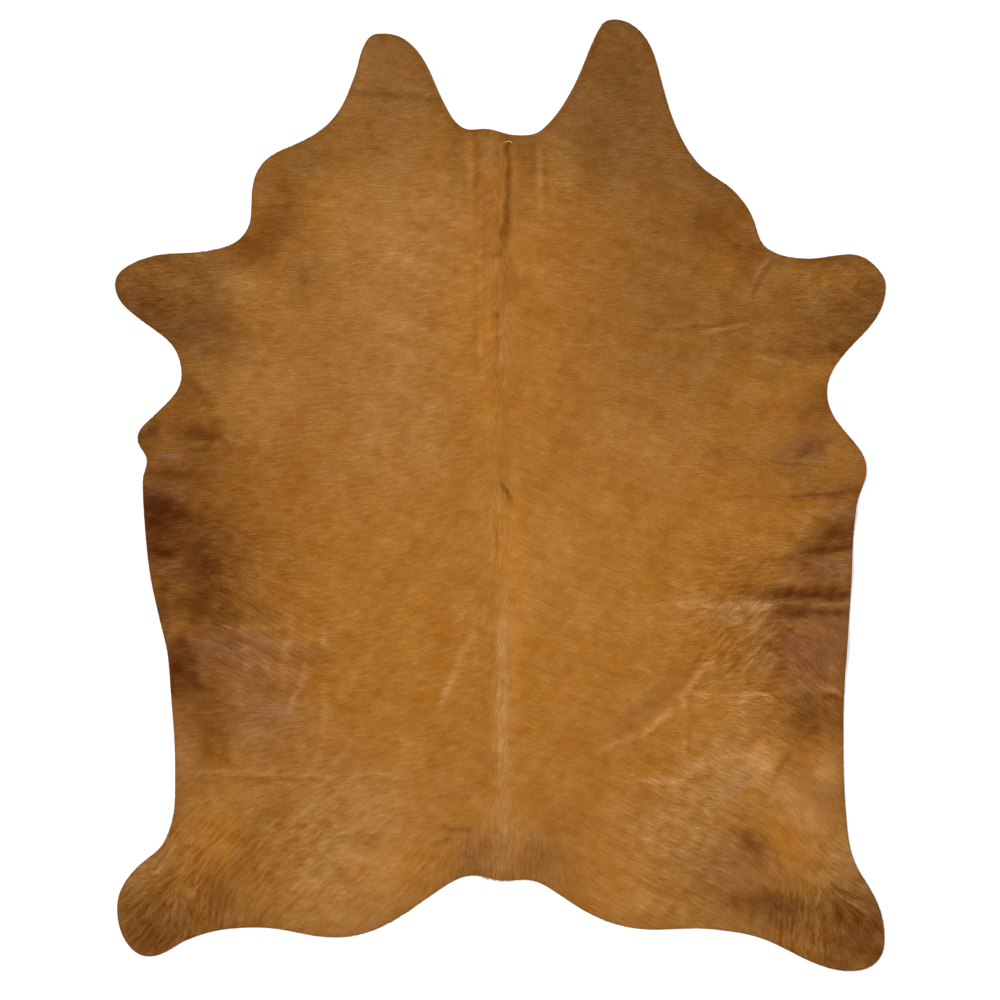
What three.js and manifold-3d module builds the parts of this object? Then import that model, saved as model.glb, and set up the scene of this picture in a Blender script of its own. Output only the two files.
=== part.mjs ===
// A whole tanned cowhide laid out on the floor, hair side up, the neck towards +Y.
// Millimetres, +Z up, the floor at z = 0 and the origin under the middle of the hide.

import * as THREE from 'three';
import { mergeVertices } from 'three/addons/utils/BufferGeometryUtils.js';
import Module from 'manifold-3d';

const LEATHER = 2; // thickness of the tanned skin
const COAT = 3; // depth of the short hair that lies on it
const CLEAR = 12; // a usual grid line keeps this far from a line that a fold needs
const DIE_DEPTH = 80; // height of the outline cutter, well over the tallest wave
const RIM_STEPS = 8; // straight pieces in each stretch of rim between two landmarks
const HANDLE = 0.36; // share of a stretch that follows the heading at each end
const TAN = 0xa56c2a; // dyed caramel hair

// Bands of the uncut plate along each axis, and how far apart its grid lines are there.
// The plate reaches past the rim on every side and is finest along the wavy belly rims.
const BANDS = {
  x: [
    { at: 'left flank', from: -915, to: -560, pitch: 36 },
    { at: 'back', from: -560, to: 560, pitch: 90 },
    { at: 'right flank', from: 560, to: 915, pitch: 36 },
  ],
  y: [
    { at: 'rump and hind legs', from: -1125, to: -480, pitch: 90 },
    { at: 'belly', from: -480, to: 180, pitch: 30 },
    { at: 'shoulders and neck', from: 180, to: 1125, pitch: 90 },
  ],
};

// Landmarks of the rim, counter-clockwise as seen from above. heading is the way the
// rim runs there, in degrees counter-clockwise from +X.
const LEFT_NECK = [
  { at: 'middle of the neck notch', x: 13, y: 836, heading: 165 },
  { at: 'rise in the notch', x: -38, y: 847, heading: 180 },
  { at: 'notch corner', x: -87, y: 850, heading: 150 },
  { at: 'inner edge', x: -133, y: 912, heading: 118 },
  { at: 'inner edge near the tip', x: -190, y: 1025, heading: 128 },
  { at: 'tip', x: -265, y: 1067, heading: 180 },
  { at: 'tip corner', x: -305, y: 1057, heading: 232 },
  { at: 'outer edge', x: -337, y: 970, heading: 250 },
  { at: 'root', x: -398, y: 859, heading: 224 },
  { at: 'cheek', x: -503, y: 799, heading: 203 },
  { at: 'shoulder point', x: -556, y: 759, heading: 236 },
  { at: 'shoulder', x: -576, y: 655, heading: 268 },
];
const LEFT_FORELEG = [
  { at: 'shoulder pit', x: -602, y: 593, heading: 222 },
  { at: 'top edge', x: -663, y: 567, heading: 192 },
  { at: 'crown', x: -834, y: 543, heading: 203 },
  { at: 'tip', x: -891, y: 489, heading: 270 },
  { at: 'heel', x: -861, y: 429, heading: 319 },
  { at: 'lower edge', x: -778, y: 366, heading: 322 },
  { at: 'armpit', x: -737, y: 278, heading: 270 },
];
const LEFT_FLANK = [
  { at: 'run to the elbow', x: -799, y: 186, heading: 226 },
  { at: 'elbow', x: -839, y: 131, heading: 270 },
  { at: 'nick below the elbow', x: -817, y: 79, heading: 270 },
  { at: 'upper belly', x: -826, y: 33, heading: 270 },
  { at: 'lower belly', x: -810, y: -177, heading: 278 },
  { at: 'flank', x: -776, y: -332, heading: 284 },
  { at: 'lower flank', x: -764, y: -427, heading: 274 },
  { at: 'thigh', x: -752, y: -631, heading: 270 },
];
const LEFT_HIND_LEG = [
  { at: 'hock', x: -775, y: -797, heading: 243 },
  { at: 'hock pit', x: -815, y: -839, heading: 218 },
  { at: 'outer edge', x: -871, y: -900, heading: 239 },
  { at: 'tip', x: -886, y: -959, heading: 272 },
  { at: 'toe', x: -852, y: -1049, heading: 314 },
  { at: 'sole', x: -809, y: -1066, heading: 2 },
  { at: 'inner edge', x: -727, y: -1029, heading: 24 },
  { at: 'hollow to the rump', x: -561, y: -999, heading: 0 },
];
const RUMP = [
  { at: 'left lobe', x: -378, y: -1022, heading: 1 },
  { at: 'left rise', x: -242, y: -980, heading: 31 },
  { at: 'left of the tail', x: -121, y: -899, heading: 32 },
  { at: 'tail, left side', x: -61, y: -879, heading: 0 },
  { at: 'tail', x: 13, y: -891, heading: 2 },
  { at: 'tail, right side', x: 68, y: -890, heading: -8 },
  { at: 'right of the tail', x: 128, y: -918, heading: -33 },
  { at: 'right fall', x: 244, y: -984, heading: -20 },
  { at: 'right lobe', x: 360, y: -1004, heading: 0 },
];
const RIGHT_HIND_LEG = [
  { at: 'hollow from the rump', x: 489, y: -1003, heading: -6 },
  { at: 'inner edge', x: 628, y: -1034, heading: -24 },
  { at: 'heel of the sole', x: 730, y: -1083, heading: -21 },
  { at: 'sole', x: 808, y: -1100, heading: 0 },
  { at: 'toe', x: 870, y: -1079, heading: 45 },
  { at: 'tip', x: 888, y: -1024, heading: 90 },
  { at: 'outer edge', x: 848, y: -899, heading: 123 },
  { at: 'hock', x: 815, y: -837, heading: 109 },
];
const RIGHT_FLANK = [
  { at: 'thigh', x: 799, y: -735, heading: 95 },
  { at: 'lower flank', x: 793, y: -531, heading: 90 },
  { at: 'flank', x: 808, y: -256, heading: 86 },
  { at: 'belly', x: 823, y: -25, heading: 82 },
  { at: 'below the elbow', x: 836, y: 17, heading: 69 },
  { at: 'elbow', x: 846, y: 59, heading: 90 },
  { at: 'run from the elbow', x: 802, y: 141, heading: 131 },
];
const RIGHT_FORELEG = [
  { at: 'armpit', x: 755, y: 237, heading: 90 },
  { at: 'root of the lower edge', x: 778, y: 304, heading: 55 },
  { at: 'lower edge', x: 834, y: 368, heading: 45 },
  { at: 'tip', x: 891, y: 482, heading: 90 },
  { at: 'tip corner', x: 869, y: 527, heading: 132 },
  { at: 'crown', x: 808, y: 557, heading: 180 },
  { at: 'top edge', x: 707, y: 547, heading: 179 },
  { at: 'shoulder pit', x: 619, y: 569, heading: 148 },
];
const RIGHT_NECK = [
  { at: 'shoulder', x: 589, y: 625, heading: 107 },
  { at: 'shoulder point', x: 540, y: 703, heading: 134 },
  { at: 'cheek', x: 478, y: 748, heading: 142 },
  { at: 'root', x: 420, y: 822, heading: 118 },
  { at: 'outer edge', x: 369, y: 970, heading: 105 },
  { at: 'outer edge near the tip', x: 332, y: 1062, heading: 127 },
  { at: 'tip', x: 263, y: 1100, heading: 180 },
  { at: 'tip corner', x: 234, y: 1088, heading: 238 },
  { at: 'inner edge', x: 172, y: 951, heading: 243 },
  { at: 'notch corner', x: 98, y: 847, heading: 222 },
  { at: 'right side of the notch', x: 50, y: 832, heading: 180 },
];
const RIM = [
  LEFT_NECK, LEFT_FORELEG, LEFT_FLANK, LEFT_HIND_LEG, RUMP,
  RIGHT_HIND_LEG, RIGHT_FLANK, RIGHT_FORELEG, RIGHT_NECK,
].flat();

// Waves of the belly rims, which don't lie quite flat: where each crest meets the rim,
// how far it reaches across and along the hide, and how high it stands off the floor.
const WAVES = [
  { at: 'left elbow pinch', x: -830, y: 112, across: 110, along: 38, rise: 5 },
  { at: 'left upper belly', x: -826, y: 22, across: 175, along: 52, rise: 9 },
  { at: 'left lower belly', x: -812, y: -166, across: 150, along: 84, rise: 7 },
  { at: 'left flank', x: -780, y: -312, across: 200, along: 62, rise: 5 },
  { at: 'right elbow', x: 846, y: 58, across: 105, along: 58, rise: 5 },
  { at: 'right upper belly', x: 824, y: -41, across: 135, along: 50, rise: 8 },
  { at: 'right lower belly', x: 815, y: -176, across: 180, along: 58, rise: 8 },
  { at: 'right flank', x: 797, y: -358, across: 205, along: 88, rise: 9 },
];

// Long low ridges: the spine, and folds that stayed in the hide after it was packed.
// A fold runs along one axis at one place on the other.
const FOLDS = [
  { at: 'spine below the neck', runs: 'y', place: -22, from: 300, to: 900, width: 72, rise: 3 },
  { at: 'right cross fold', runs: 'x', place: -254, from: 320, to: 860, width: 46, rise: 3 },
  { at: 'left cross fold', runs: 'x', place: -309, from: -720, to: -320, width: 48, rise: 2.5 },
  { at: 'right thigh fold', runs: 'x', place: -460, from: 430, to: 850, width: 40, rise: 2 },
  { at: 'left thigh fold', runs: 'x', place: -649, from: -800, to: -390, width: 40, rise: 2 },
  { at: 'right long fold', runs: 'y', place: 420, from: -620, to: -270, width: 38, rise: 1.5 },
  { at: 'left long fold', runs: 'y', place: -406, from: -580, to: -230, width: 38, rise: 1.5 },
  { at: 'left neck fold', runs: 'x', place: 937, from: -380, to: -110, width: 46, rise: 2 },
];

// Smooth hump of height 1 that reaches zero at a distance of 1.
function bell(distance) {
  if (Math.abs(distance) >= 1) {
    return 0;
  }
  return Math.cos((Math.PI / 2) * distance) ** 2;
}

// Height of the underside above the floor.
function lift(x, y) {
  let height = 0;
  for (const wave of WAVES) {
    const across = (x - wave.x) / wave.across;
    const along = (y - wave.y) / wave.along;
    height += wave.rise * bell(Math.hypot(across, along));
  }
  for (const fold of FOLDS) {
    const [along, aside] = fold.runs === 'x' ? [x, y] : [y, x];
    const share = (2 * along - fold.from - fold.to) / (fold.to - fold.from);
    height += fold.rise * bell((2 * (aside - fold.place)) / fold.width) * bell(share ** 3);
  }
  return height;
}

// Evenly spaced grid lines of one band, without its far end.
function bandLines(band) {
  const count = Math.ceil((band.to - band.from) / band.pitch);
  const step = (band.to - band.from) / count;
  return Array.from({ length: count }, (_, i) => band.from + i * step);
}

// Grid lines along one axis: three for each fold that crosses it, and usual ones between.
function gridLines(axis) {
  const needed = FOLDS.filter((fold) => fold.runs !== axis).flatMap((fold) => [
    fold.place - fold.width / 2,
    fold.place,
    fold.place + fold.width / 2,
  ]);
  const usual = [...BANDS[axis].flatMap(bandLines), BANDS[axis].at(-1).to];
  const kept = usual.filter((line) => needed.every((other) => Math.abs(line - other) > CLEAR));
  return [...kept, ...needed].sort((a, b) => a - b);
}

// The uncut plate of skin and coat, gridded and lifted by its waves and folds.
function liftedPlate() {
  const columns = gridLines('x');
  const rows = gridLines('y');
  const across = columns.length - 1;
  const along = rows.length - 1;
  const plate = new THREE.BoxGeometry(across, along, 1, across, along, 1);
  const position = plate.attributes.position;
  for (let i = 0; i < position.count; i += 1) {
    const x = columns[Math.round(position.getX(i) + across / 2)];
    const y = rows[Math.round(position.getY(i) + along / 2)];
    const face = position.getZ(i) > 0 ? LEATHER + COAT : 0;
    position.setXYZ(i, x, y, lift(x, y) + face);
  }
  return plate;
}

// A prism of the hide's outline: one smooth curve from each landmark to the next.
function outlineDie() {
  const outline = new THREE.Shape();
  outline.moveTo(RIM[0].x, RIM[0].y);
  RIM.forEach((start, i) => {
    const end = RIM[(i + 1) % RIM.length];
    const reach = HANDLE * Math.hypot(end.x - start.x, end.y - start.y);
    const leave = THREE.MathUtils.degToRad(start.heading);
    const arrive = THREE.MathUtils.degToRad(end.heading);
    outline.bezierCurveTo(
      start.x + reach * Math.cos(leave),
      start.y + reach * Math.sin(leave),
      end.x - reach * Math.cos(arrive),
      end.y - reach * Math.sin(arrive),
      end.x,
      end.y,
    );
  });
  const die = new THREE.ExtrudeGeometry(outline, {
    depth: DIE_DEPTH,
    bevelEnabled: false,
    curveSegments: RIM_STEPS,
  });
  return die.translate(0, 0, -DIE_DEPTH / 2);
}

const wasm = await Module();
wasm.setup();

// A closed solid from a mesh whose faces may not share corners yet.
function toSolid(geometry) {
  geometry.deleteAttribute('normal');
  geometry.deleteAttribute('uv');
  const merged = mergeVertices(geometry);
  const mesh = new wasm.Mesh({
    numProp: 3,
    vertProperties: Float32Array.from(merged.attributes.position.array),
    triVerts: Uint32Array.from(merged.index.array),
  });
  return new wasm.Manifold(mesh);
}

// The mesh of a solid.
function toGeometry(solid) {
  const mesh = solid.getMesh();
  const geometry = new THREE.BufferGeometry();
  geometry.setAttribute('position', new THREE.BufferAttribute(mesh.vertProperties, 3));
  geometry.setIndex(new THREE.BufferAttribute(mesh.triVerts, 1));
  geometry.computeVertexNormals();
  return geometry;
}

const hideSolid = toSolid(liftedPlate()).intersect(toSolid(outlineDie()));
const hairSide = new THREE.MeshStandardMaterial({ color: TAN, roughness: 0.7, metalness: 0 });
const hide = new THREE.Mesh(toGeometry(hideSolid), hairSide);
hide.name = 'hide';

const rug = new THREE.Group();
rug.name = 'cowhide_rug';
rug.add(hide);

export default rug;
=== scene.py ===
"""A tanned cowhide rug with its hair on, laid out on a pale floor.

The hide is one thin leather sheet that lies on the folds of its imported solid, with the creases
of a hide that was stored folded. The coat is short hair combed the way it grows: backwards
along the spine, outwards over the ribs and fanned over the hind legs. Metres, +Z up, neck
towards +Y.
"""

from __future__ import annotations

import logging
import math
from dataclasses import dataclass, field
from enum import Enum

import bmesh
import bpy
import numpy as np
from mathutils import Matrix, Vector
from mathutils.bvhtree import BVHTree
from mathutils.kdtree import KDTree

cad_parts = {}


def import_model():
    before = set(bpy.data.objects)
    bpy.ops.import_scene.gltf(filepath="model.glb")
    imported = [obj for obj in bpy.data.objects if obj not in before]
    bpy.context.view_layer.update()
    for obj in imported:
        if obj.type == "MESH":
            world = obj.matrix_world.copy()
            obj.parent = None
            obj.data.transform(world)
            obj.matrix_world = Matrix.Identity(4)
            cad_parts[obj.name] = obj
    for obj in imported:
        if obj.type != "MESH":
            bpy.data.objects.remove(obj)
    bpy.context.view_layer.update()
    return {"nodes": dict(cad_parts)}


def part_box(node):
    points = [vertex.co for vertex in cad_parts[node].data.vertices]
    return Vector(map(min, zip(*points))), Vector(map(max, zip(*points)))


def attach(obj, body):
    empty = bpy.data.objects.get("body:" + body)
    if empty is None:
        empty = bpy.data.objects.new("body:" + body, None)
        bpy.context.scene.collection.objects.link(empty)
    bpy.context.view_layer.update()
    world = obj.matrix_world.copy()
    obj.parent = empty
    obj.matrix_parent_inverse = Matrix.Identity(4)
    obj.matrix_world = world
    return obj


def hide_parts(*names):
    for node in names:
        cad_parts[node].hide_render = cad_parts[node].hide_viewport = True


LOG = logging.getLogger("cowhide_rug")

NODE = "hide"
BODY = "root"

# Sockets for colours on a mix node, which has a set of sockets for every kind of data.
MIX_UNDER, MIX_OVER, MIX_RESULT = 6, 7, 2

# A place on the hide, (x, y).
Spot = tuple[float, float]
# Least x, least y, greatest x and greatest y.
Box = tuple[float, float, float, float]
# Linear red, green and blue, and alpha.
Colour = tuple[float, float, float, float]


class Tint(Enum):
    """The colours that the coat drifts between, as sRGB: its dyed hair, with painted sheen and painted
    shade laid in through some of them.
    """

    TAN = "#905e26"
    # Golden hair, also used for painted shade in the shoulder pits and the troughs beside the neck ridge.
    GOLD = "#ab6e22"
    # Pale fawn hair, also used for painted sheen on some folds.
    FAWN = "#a87841"
    # Reddish hair, also used for painted sheen on wave crests and painted shade below the right belly
    # wrinkle.
    RUST = "#7b4e33"
    OLIVE = "#5d3c1d"
    # Dark hair, also used for painted shade in furrows, folds, pits and along the rim.
    UMBER = "#461902"
    # Wholly painted sheen: a pale highlight on crests of folds and waves and on ruffled hair.
    CREST = "#c89560"

    @property
    def linear(self) -> Colour:
        """The colour as Blender's linear values."""
        parts = [int(self.value[i : i + 2], 16) / 255 for i in (1, 3, 5)]
        red, green, blue = (p / 12.92 if p <= 0.04045 else ((p + 0.055) / 1.055) ** 2.4 for p in parts)
        return red, green, blue, 1.0


@dataclass(frozen=True)
class Patch:
    """A soft-edged area of the coat that leans to one tint: mostly hair of that colour, in some places
    painted sheen, in others painted shade.

    Attributes:
        place: Where it lies on the hide.
        x: Middle, across the hide.
        y: Middle, along the hide.
        across: Half its width.
        along: Half its length.
        strength: How far it leans to its colour, from 0 to 1.
        turn: Angle of its width from +X, in degrees.
        crisp: 1 for a soft edge, more for a sharper one.
        fade: How many half sizes from its middle it is last seen.
    """

    place: str
    x: float
    y: float
    across: float
    along: float
    strength: float
    turn: float = 0.0
    crisp: float = 1.0
    fade: float = 2.6

    @property
    def box(self) -> Box:
        """The box outside which the patch doesn't show."""
        reach = self.fade * max(self.across, self.along)
        return self.x - reach, self.y - reach, self.x + reach, self.y + reach

    def share(self, x: np.ndarray, y: np.ndarray) -> np.ndarray:
        """Work out how strongly the patch colours each point.

        Args:
            x: Points across the hide.
            y: Points along the hide.

        Returns:
            The share of its colour at each point.
        """
        cosine, sine = math.cos(math.radians(self.turn)), math.sin(math.radians(self.turn))
        right, up = x - self.x, y - self.y
        u = (right * cosine + up * sine) / self.across
        v = (up * cosine - right * sine) / self.along
        return self.strength * np.exp(-((u * u + v * v) ** self.crisp))


@dataclass(frozen=True)
class Line:
    """A soft bowed line on the hide that fades out at both ends.

    Attributes:
        place: Where it lies on the hide.
        start: One end.
        end: The other end.
        width: Half its width.
        bow: How far its middle bows to the left of the way from start to end.
        overrun: How far it runs past its ends, as a share of its length.
        taper: How much of it fades at each end, as a share of its length.
    """

    place: str
    start: Spot
    end: Spot
    width: float
    bow: float = field(default=0.0, kw_only=True)
    overrun: float = field(default=0.05, kw_only=True)
    taper: float = field(default=0.35, kw_only=True)

    @property
    def length(self) -> float:
        """The straight distance between its ends."""
        return math.dist(self.start, self.end)

    @property
    def box(self) -> Box:
        """The box outside which the line doesn't show."""
        spare = abs(self.bow) + 3.0 * self.width + 0.1 * self.length
        low_x, high_x = sorted((self.start[0], self.end[0]))
        low_y, high_y = sorted((self.start[1], self.end[1]))
        return low_x - spare, low_y - spare, high_x + spare, high_y + spare

    def measure(self, x: np.ndarray, y: np.ndarray) -> tuple[np.ndarray, np.ndarray]:
        """Measure points against the line.

        Args:
            x: Points across the hide.
            y: Points along the hide.

        Returns:
            How far along it each point is, as a share of its length, and how far to the left of it.
        """
        ahead_x = (self.end[0] - self.start[0]) / self.length
        ahead_y = (self.end[1] - self.start[1]) / self.length
        right, up = x - self.start[0], y - self.start[1]
        along = (right * ahead_x + up * ahead_y) / self.length
        run = np.clip(along, 0.0, 1.0)
        return along, up * ahead_x - right * ahead_y - self.bow * 4.0 * run * (1.0 - run)

    def profile(self, x: np.ndarray, y: np.ndarray) -> np.ndarray:
        """Work out how fully the line shows at each point.

        Args:
            x: Points across the hide.
            y: Points along the hide.

        Returns:
            1 on its fullest stretch, falling softly to 0 beside it and at its ends.
        """
        along, aside = self.measure(x, y)
        to_end = np.minimum(along, 1.0 - along) + self.overrun
        fade = np.clip(to_end / self.taper, 0.0, 1.0)
        return fade * fade * (3.0 - 2.0 * fade) * np.exp(-((aside / self.width) ** 2))


@dataclass(frozen=True)
class Streak(Line):
    """A line of colour: hair along a parting or a lock, painted shade in a furrow, painted sheen along a
    fold.

    Attributes:
        strength: How far it leans to its colour, from 0 to 1.
    """

    strength: float

    def share(self, x: np.ndarray, y: np.ndarray) -> np.ndarray:
        """The share of its colour at each point."""
        return self.strength * self.profile(x, y)


@dataclass(frozen=True)
class Crease(Line):
    """A ridge left by folding or stretching the hide.

    Attributes:
        rise: Height of its crest.
        pale: How strong the painted highlight along its crest is, from 0 to 1.
        uneven: How far its height wavers along it, as a share.
        ripple: Length of one radian of that wavering.
        shift: Radians by which the wavering shifts with each metre across the hide.
    """

    rise: float
    pale: float
    overrun: float = field(default=0.08, kw_only=True)
    taper: float = field(default=0.3, kw_only=True)
    uneven: float = 0.15
    ripple: float = 0.017
    shift: float = 40.0

    def crest(self, x: np.ndarray, y: np.ndarray) -> np.ndarray:
        """Work out the crease's height at each point as a share of its rise.

        Args:
            x: Points across the hide.
            y: Points along the hide.

        Returns:
            About 1 on the crest, 0 away from it.
        """
        along, _ = self.measure(x, y)
        wave = np.sin(along * self.length / self.ripple + self.shift * self.start[0])
        return (1.0 - self.uneven + self.uneven * wave) * self.profile(x, y)

    def share(self, x: np.ndarray, y: np.ndarray) -> np.ndarray:
        """The share of painted highlight at each point."""
        return self.pale * self.crest(x, y)


@dataclass(frozen=True)
class Guide:
    """A point where the way the hair lies is known.

    Attributes:
        place: Where it is on the hide.
        x: Across the hide.
        y: Along the hide.
        heading: The way the hair points, in degrees from +X.
    """

    place: str
    x: float
    y: float
    heading: float


@dataclass(frozen=True)
class Ruffle:
    """An area where the hair stands in loose locks instead of lying sleek.

    Attributes:
        place: Where it is on the hide.
        x: Middle, across the hide.
        y: Middle, along the hide.
        reach: Radius of the area.
        strength: How loose its hair is, from 0 to 1.
    """

    place: str
    x: float
    y: float
    reach: float
    strength: float


@dataclass(frozen=True)
class Grain:
    """A smooth random field over the hide, made of plane waves.

    Attributes:
        wavelength: Usual size of its blotches.
        seed: Number that fixes its waves.
        swing: How far it goes up and down, about.
        waves: How many waves are summed.
    """

    wavelength: float
    seed: int
    swing: float = 1.0
    waves: int = 18

    def at(self, x: np.ndarray, y: np.ndarray) -> np.ndarray:
        """Read the field.

        Args:
            x: Points across the hide.
            y: Points along the hide.

        Returns:
            The field at each point.
        """
        rng = np.random.default_rng(self.seed)
        angles = rng.uniform(0.0, 2.0 * math.pi, self.waves)
        lengths = self.wavelength * rng.uniform(0.7, 1.7, self.waves)
        phases = rng.uniform(0.0, 2.0 * math.pi, self.waves)
        total = np.zeros_like(x)
        for angle, length, phase in zip(angles, lengths, phases):
            pull = 2.0 * math.pi / length
            total += np.sin(pull * (x * math.cos(angle) + y * math.sin(angle)) + phase)
        return self.swing * total / math.sqrt(self.waves)


@dataclass(frozen=True)
class Wander:
    """A tint that comes and goes over the whole coat.

    Attributes:
        tint: The colour.
        usual: Its usual share.
        swing: How far the noise swings that share.
        most: Its greatest share.
        grains: The noise, from coarse to fine.
        finer: How much weaker each finer noise is.
    """

    tint: Tint
    usual: float
    swing: float
    most: float
    grains: tuple[Grain, ...]
    finer: float = 0.7

    def share(self, x: np.ndarray, y: np.ndarray) -> np.ndarray:
        """The share of the tint at each point."""
        noise = sum(self.finer**i * grain.at(x, y) for i, grain in enumerate(self.grains))
        return np.clip(self.usual + self.swing * noise, 0.0, self.most)


@dataclass(frozen=True)
class TintMarks:
    """All the marks on the coat that lean to one tint.

    Attributes:
        tint: The colour.
        patches: Its areas.
        streaks: Its lines.
    """

    tint: Tint
    patches: tuple[Patch, ...]
    streaks: tuple[Streak, ...]


# The marks of each tint, in order of place.
GOLD_PATCHES = (
    Patch("back", 0.0, -0.26, 0.65, 0.44, 0.48, crisp=1.5),
    Patch("back", 0.02, 0.43, 0.16, 0.38, 0.36),
    Patch("left armpit", -0.69, 0.235, 0.05, 0.05, 0.3),
    Patch("left belly", -0.631, -0.146, 0.03, 0.03, 0.42),
    Patch("left flank", -0.53, -0.375, 0.03, 0.025, 0.45),
    Patch("left flank", -0.43, -0.404, 0.03, 0.06, 0.55),
    Patch("left foreleg root", -0.591, 0.412, 0.024, 0.02, 0.4),
    Patch("left foreleg", -0.754, 0.49, 0.03, 0.02, 0.4),
    Patch("left haunch", -0.324, -0.855, 0.03, 0.045, 0.42),
    Patch("left haunch", -0.318, -0.845, 0.03, 0.05, 0.4),
    Patch("left haunch", -0.328, -0.87, 0.03, 0.022, 0.4),
    Patch("left hind leg", -0.79, -0.95, 0.09, 0.1, 0.35),
    Patch("left hock", -0.655, -0.785, 0.05, 0.11, 0.42, turn=-8),
    Patch("left hock", -0.63, -0.83, 0.05, 0.07, 0.3),
    Patch("left of the rump", -0.245, -0.855, 0.1, 0.12, 0.34),
    Patch("left ribs", -0.578, -0.057, 0.06, 0.08, 0.32),
    Patch("left rump", -0.2, -0.705, 0.12, 0.22, 0.25),
    Patch("left rump", -0.257, -0.856, 0.03, 0.03, 0.5),
    Patch("left shoulder", -0.44, 0.65, 0.09, 0.09, 0.27),
    # Painted shade in the left shoulder pit.
    Patch("left shoulder pit", -0.563, 0.597, 0.055, 0.034, 0.5, turn=20),
    Patch("left side", -0.52, 0.04, 0.11, 0.14, 0.16),
    Patch("left withers", -0.08, 0.4, 0.055, 0.17, 0.36),
    Patch("right armpit", 0.64, 0.26, 0.1, 0.05, 0.4),
    Patch("right belly", 0.675, -0.137, 0.03, 0.02, 0.42),
    Patch("right cross fold", 0.62, -0.248, 0.02, 0.012, 0.6),
    Patch("right flank whorl", 0.586, -0.202, 0.035, 0.018, 0.4),
    Patch("right flank", 0.622, -0.42, 0.03, 0.025, 0.62),
    Patch("right flank", 0.571, -0.421, 0.03, 0.02, 0.42),
    Patch("right flank", 0.55, -0.273, 0.055, 0.026, 0.5),
    Patch("right foreleg", 0.785, 0.485, 0.07, 0.035, 0.35),
    Patch("right haunch edge", 0.595, -0.687, 0.026, 0.024, 0.5),
    Patch("right haunch", 0.365, -0.66, 0.06, 0.04, 0.3),
    Patch("right haunch", 0.6, -0.595, 0.03, 0.025, 0.7),
    Patch("right haunch", 0.44, -0.61, 0.045, 0.04, 0.3),
    Patch("right hind leg", 0.8, -0.98, 0.09, 0.1, 0.35),
    Patch("right hock", 0.677, -0.82, 0.05, 0.08, 0.55, turn=30),
    Patch("right hock", 0.658, -0.797, 0.035, 0.035, 0.4),
    Patch("right loin", 0.44, -0.53, 0.15, 0.1, 0.25),
    Patch("right loin", 0.465, -0.291, 0.035, 0.02, 0.65),
    Patch("right loin", 0.46, -0.338, 0.03, 0.025, 0.5),
    Patch("right loin", 0.35, -0.28, 0.08, 0.03, 0.3),
    Patch("right of the rump", 0.29, -0.82, 0.1, 0.14, 0.3),
    Patch("right of the rump", 0.308, -0.879, 0.03, 0.03, 0.42),
    Patch("right rump rim", 0.27, -0.95, 0.11, 0.04, 0.4),
    Patch("right shoulder hollow", 0.52, 0.45, 0.035, 0.05, 0.4),
    # Painted shade in the right shoulder pit.
    Patch("right shoulder pit", 0.556, 0.555, 0.045, 0.03, 0.5),
    Patch("right shoulder", 0.525, 0.54, 0.045, 0.11, 0.35),
    Patch("right shoulder", 0.482, 0.634, 0.05, 0.042, 0.5),
    Patch("right side", 0.57, -0.02, 0.14, 0.17, 0.22),
    Patch("right side", 0.486, -0.188, 0.035, 0.026, 0.36),
    Patch("right thigh edge", 0.753, -0.645, 0.03, 0.025, 0.55),
    Patch("right thigh edge", 0.724, -0.613, 0.03, 0.025, 0.45),
    Patch("right thigh", 0.544, -0.488, 0.03, 0.022, 0.8),
    Patch("right thigh", 0.52, -0.47, 0.09, 0.022, 0.62),
    Patch("right thigh", 0.629, -0.643, 0.02, 0.03, 0.5),
    Patch("right thigh", 0.507, -0.498, 0.03, 0.02, 0.45),
    Patch("rump", 0.09, -0.68, 0.2, 0.16, 0.14),
    Patch("spine", -0.024, 0.186, 0.012, 0.08, 0.5),
    Patch("tail", 0.0, -0.77, 0.06, 0.09, 0.35),
)
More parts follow.
